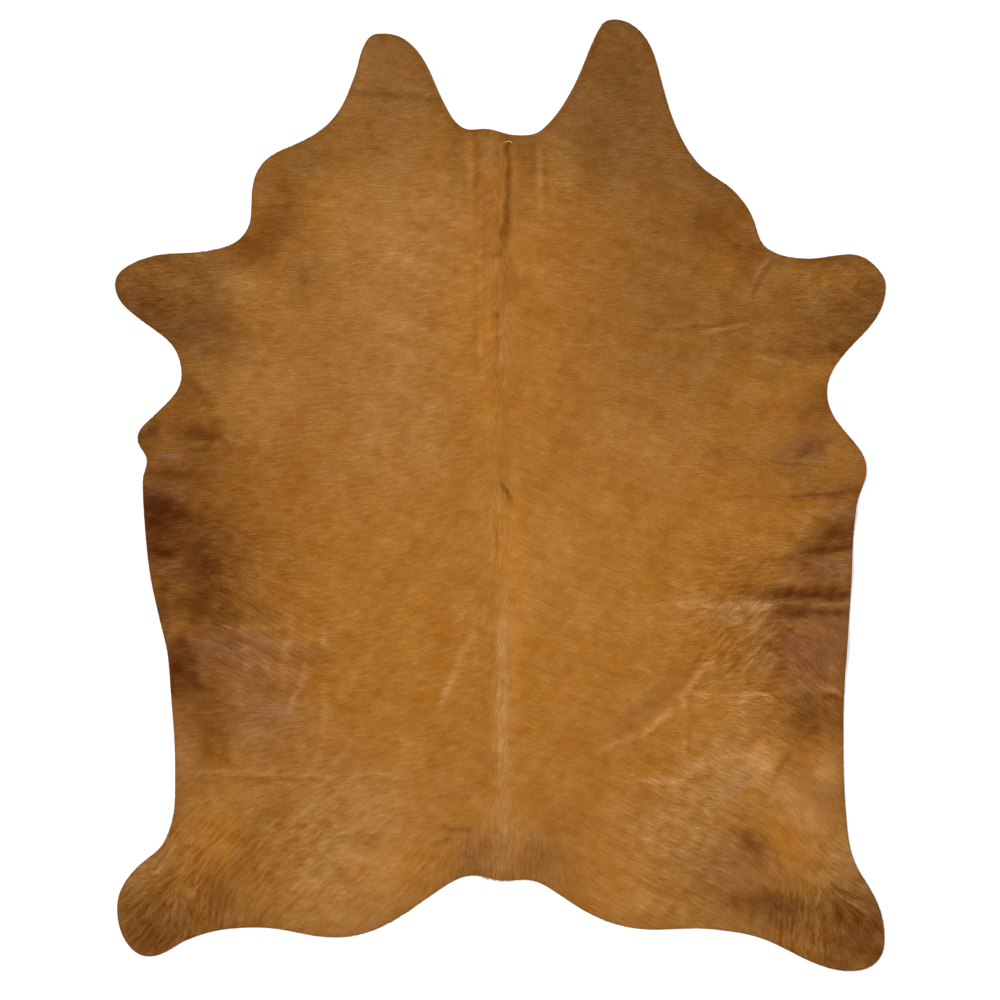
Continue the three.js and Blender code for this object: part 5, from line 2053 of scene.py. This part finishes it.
@dataclass
class TackStitch:
    """The one short stitch of pale thread at the neck edge, pulled a little towards it.

    Attributes:
        x: Middle, across the hide.
        y: Along the hide.
        span: Length between its two holes.
        arch: Height of its middle above the holes.
        lean: How far it leans over towards the neck, in degrees.
        sink: How far its holes lie below the solid's top.
        thread: Radius of the thread.
    """

    x: float = 0.0185
    y: float = 0.8145
    span: float = 0.0165
    arch: float = 0.0038
    lean: float = 62.0
    sink: float = 0.0014
    thread: float = 0.0008

    def make(self, rim: Rim) -> bpy.types.Object:
        """Spin the thread's section along a leaning arch.

        Args:
            rim: Gives the height of the solid's top.

        Returns:
            The stitch.
        """
        radius = (self.span**2 / 4 + self.arch**2) / (2 * self.arch)
        half = math.asin(self.span / 2 / radius)
        ground = rim.top(self.x, self.y) - self.sink
        tilt = math.radians(self.lean)
        centre = Vector((0.0, 0.0, self.arch - radius))
        bm = bmesh.new()
        bmesh.ops.create_circle(bm, cap_ends=True, segments=10, radius=self.thread)
        bmesh.ops.rotate(bm, matrix=Matrix.Rotation(math.pi / 2, 3, "Y"), verts=bm.verts)
        bmesh.ops.translate(bm, vec=(0.0, 0.0, self.arch), verts=bm.verts)
        bmesh.ops.rotate(bm, cent=centre, matrix=Matrix.Rotation(-half, 3, "Y"), verts=bm.verts)
        bmesh.ops.spin(bm, geom=list(bm.faces), cent=centre, axis=(0, 1, 0), angle=2 * half, steps=14)
        bmesh.ops.remove_doubles(bm, verts=bm.verts, dist=1e-6)
        bmesh.ops.recalc_face_normals(bm, faces=bm.faces)
        bmesh.ops.rotate(bm, matrix=Matrix.Rotation(-tilt, 3, "X"), verts=bm.verts)
        bmesh.ops.translate(bm, vec=(self.x, self.y, ground), verts=bm.verts)
        line_up(bm)
        mesh = bpy.data.meshes.new("tack_stitch")
        bm.to_mesh(mesh)
        bm.free()
        thread = LeatherFinish("thread", (0.6, 0.42, 0.2, 1.0), (0.48, 0.32, 0.14, 1.0), nap=2500.0)
        mesh.materials.append(thread.material())
        piece = bpy.data.objects.new("tack_stitch", mesh)
        bpy.context.scene.collection.objects.link(piece)
        return piece


@dataclass(frozen=True)
class Lamp:
    """A large soft light hung beside the rug and turned to it.

    Attributes:
        name: The side it stands on.
        place: Where it hangs.
        power: Its power in watts.
    """

    name: str
    place: tuple[float, float, float]
    power: float


LAMPS = (
    Lamp("key_upper_left", (-6.5, 5.0, 7.0), 1000.0),
    Lamp("fill_upper_right", (6.5, 5.5, 7.0), 495.0),
    Lamp("fill_lower_left", (-5.5, -6.5, 7.0), 540.0),
    Lamp("fill_lower_right", (6.5, -5.5, 7.0), 480.0),
)


@dataclass
class Studio:
    """The pale floor, the soft lights and the camera straight above.

    Attributes:
        floor: Half the floor's side.
        floor_gap: How far the floor lies under the hide.
        height: The camera's height.
        aim: The point it looks down at.
        lens: Its focal length in millimetres.
        walls: Brightness of the surroundings at the height of the floor.
        ceiling: Brightness of the surroundings overhead.
        cove: Upward part of the direction at which the walls have faded into the ceiling.
        lamp_size: Side of each soft light.
    """

    floor: float = 30.0
    floor_gap: float = 0.0004
    height: float = 5.46
    aim: Spot = (-0.001, -0.011)
    lens: float = 85.0
    walls: float = 1.08
    ceiling: float = 0.13
    cove: float = 0.6
    lamp_size: float = 4.0

    def lay_floor(self) -> None:
        """Lay the floor just under the hide."""
        bm = bmesh.new()
        bmesh.ops.create_grid(bm, x_segments=2, y_segments=2, size=self.floor)
        bmesh.ops.translate(bm, vec=(0.0, 0.0, -self.floor_gap), verts=bm.verts)
        mesh = bpy.data.meshes.new("floor")
        bm.to_mesh(mesh)
        bm.free()
        material = bpy.data.materials.new("floor_white")
        material.use_nodes = True
        shader = material.node_tree.nodes["Principled BSDF"]
        shader.inputs["Base Color"].default_value = (0.96, 0.96, 0.96, 1.0)
        shader.inputs["Roughness"].default_value = 0.9
        shader.inputs["Specular IOR Level"].default_value = 0.1
        mesh.materials.append(material)
        floor = bpy.data.objects.new("floor", mesh)
        bpy.context.scene.collection.objects.link(floor)

    def light(self) -> None:
        """Hang the lights, and brighten the walls more than the ceiling."""
        world = bpy.data.worlds.new("studio")
        world.use_nodes = True
        nodes, links = world.node_tree.nodes, world.node_tree.links
        way = nodes.new("ShaderNodeTexCoord")
        split = nodes.new("ShaderNodeSeparateXYZ")
        fall = nodes.new("ShaderNodeMapRange")
        fall.inputs["From Max"].default_value = self.cove
        fall.inputs["To Min"].default_value = self.walls
        fall.inputs["To Max"].default_value = self.ceiling
        links.new(way.outputs["Generated"], split.inputs["Vector"])
        links.new(split.outputs["Z"], fall.inputs["Value"])
        links.new(fall.outputs["Result"], nodes["Background"].inputs["Strength"])
        nodes["Background"].inputs["Color"].default_value = (1.0, 1.0, 1.0, 1.0)
        bpy.context.scene.world = world
        for lamp in LAMPS:
            light = bpy.data.lights.new(lamp.name, "AREA")
            light.energy = lamp.power
            light.size = self.lamp_size
            holder = bpy.data.objects.new(lamp.name, light)
            holder.location = lamp.place
            holder.rotation_euler = (-Vector(lamp.place)).to_track_quat("-Z", "Y").to_euler()
            holder.visible_camera = False
            bpy.context.scene.collection.objects.link(holder)

    def aim_camera(self) -> None:
        """Hang the camera over the rug, the neck at the top of its picture."""
        lens = bpy.data.cameras.new("overhead")
        lens.lens = self.lens
        lens.sensor_width = 36.0
        lens.clip_end = 100.0
        camera = bpy.data.objects.new("overhead", lens)
        camera.location = (*self.aim, self.height)
        bpy.context.scene.collection.objects.link(camera)
        bpy.context.scene.camera = camera

    def set_up(self) -> None:
        """Make the whole studio."""
        bpy.context.scene.view_settings.view_transform = "Standard"
        self.lay_floor()
        self.light()
        self.aim_camera()


def report(piece: bpy.types.Object) -> None:
    """Fasten a piece to the rug and log its size.

    Args:
        piece: A finished piece.
    """
    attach(piece, BODY)
    LOG.info("%s: %d faces", piece.name, len(piece.data.polygons))


def main() -> None:
    """Build the rug and its studio in order."""
    logging.basicConfig(level=logging.INFO, format="%(name)s: %(message)s")
    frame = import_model()
    rim = Rim.read(frame["nodes"][NODE])
    dye_and_light = DyeAndLight()
    skin = Skin(rim, dye_and_light).make()
    coat = Coat(rim, dye_and_light, Flow()).grow(skin)
    stitch = TackStitch().make(rim)
    for piece in (skin, *coat, stitch):
        report(piece)
    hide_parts(NODE)
    area = sum(p.area for p in skin.data.polygons)
    LOG.info("hair side: %.3f square metres", area)
    Studio().set_up()


if __name__ == "__main__":
    main()
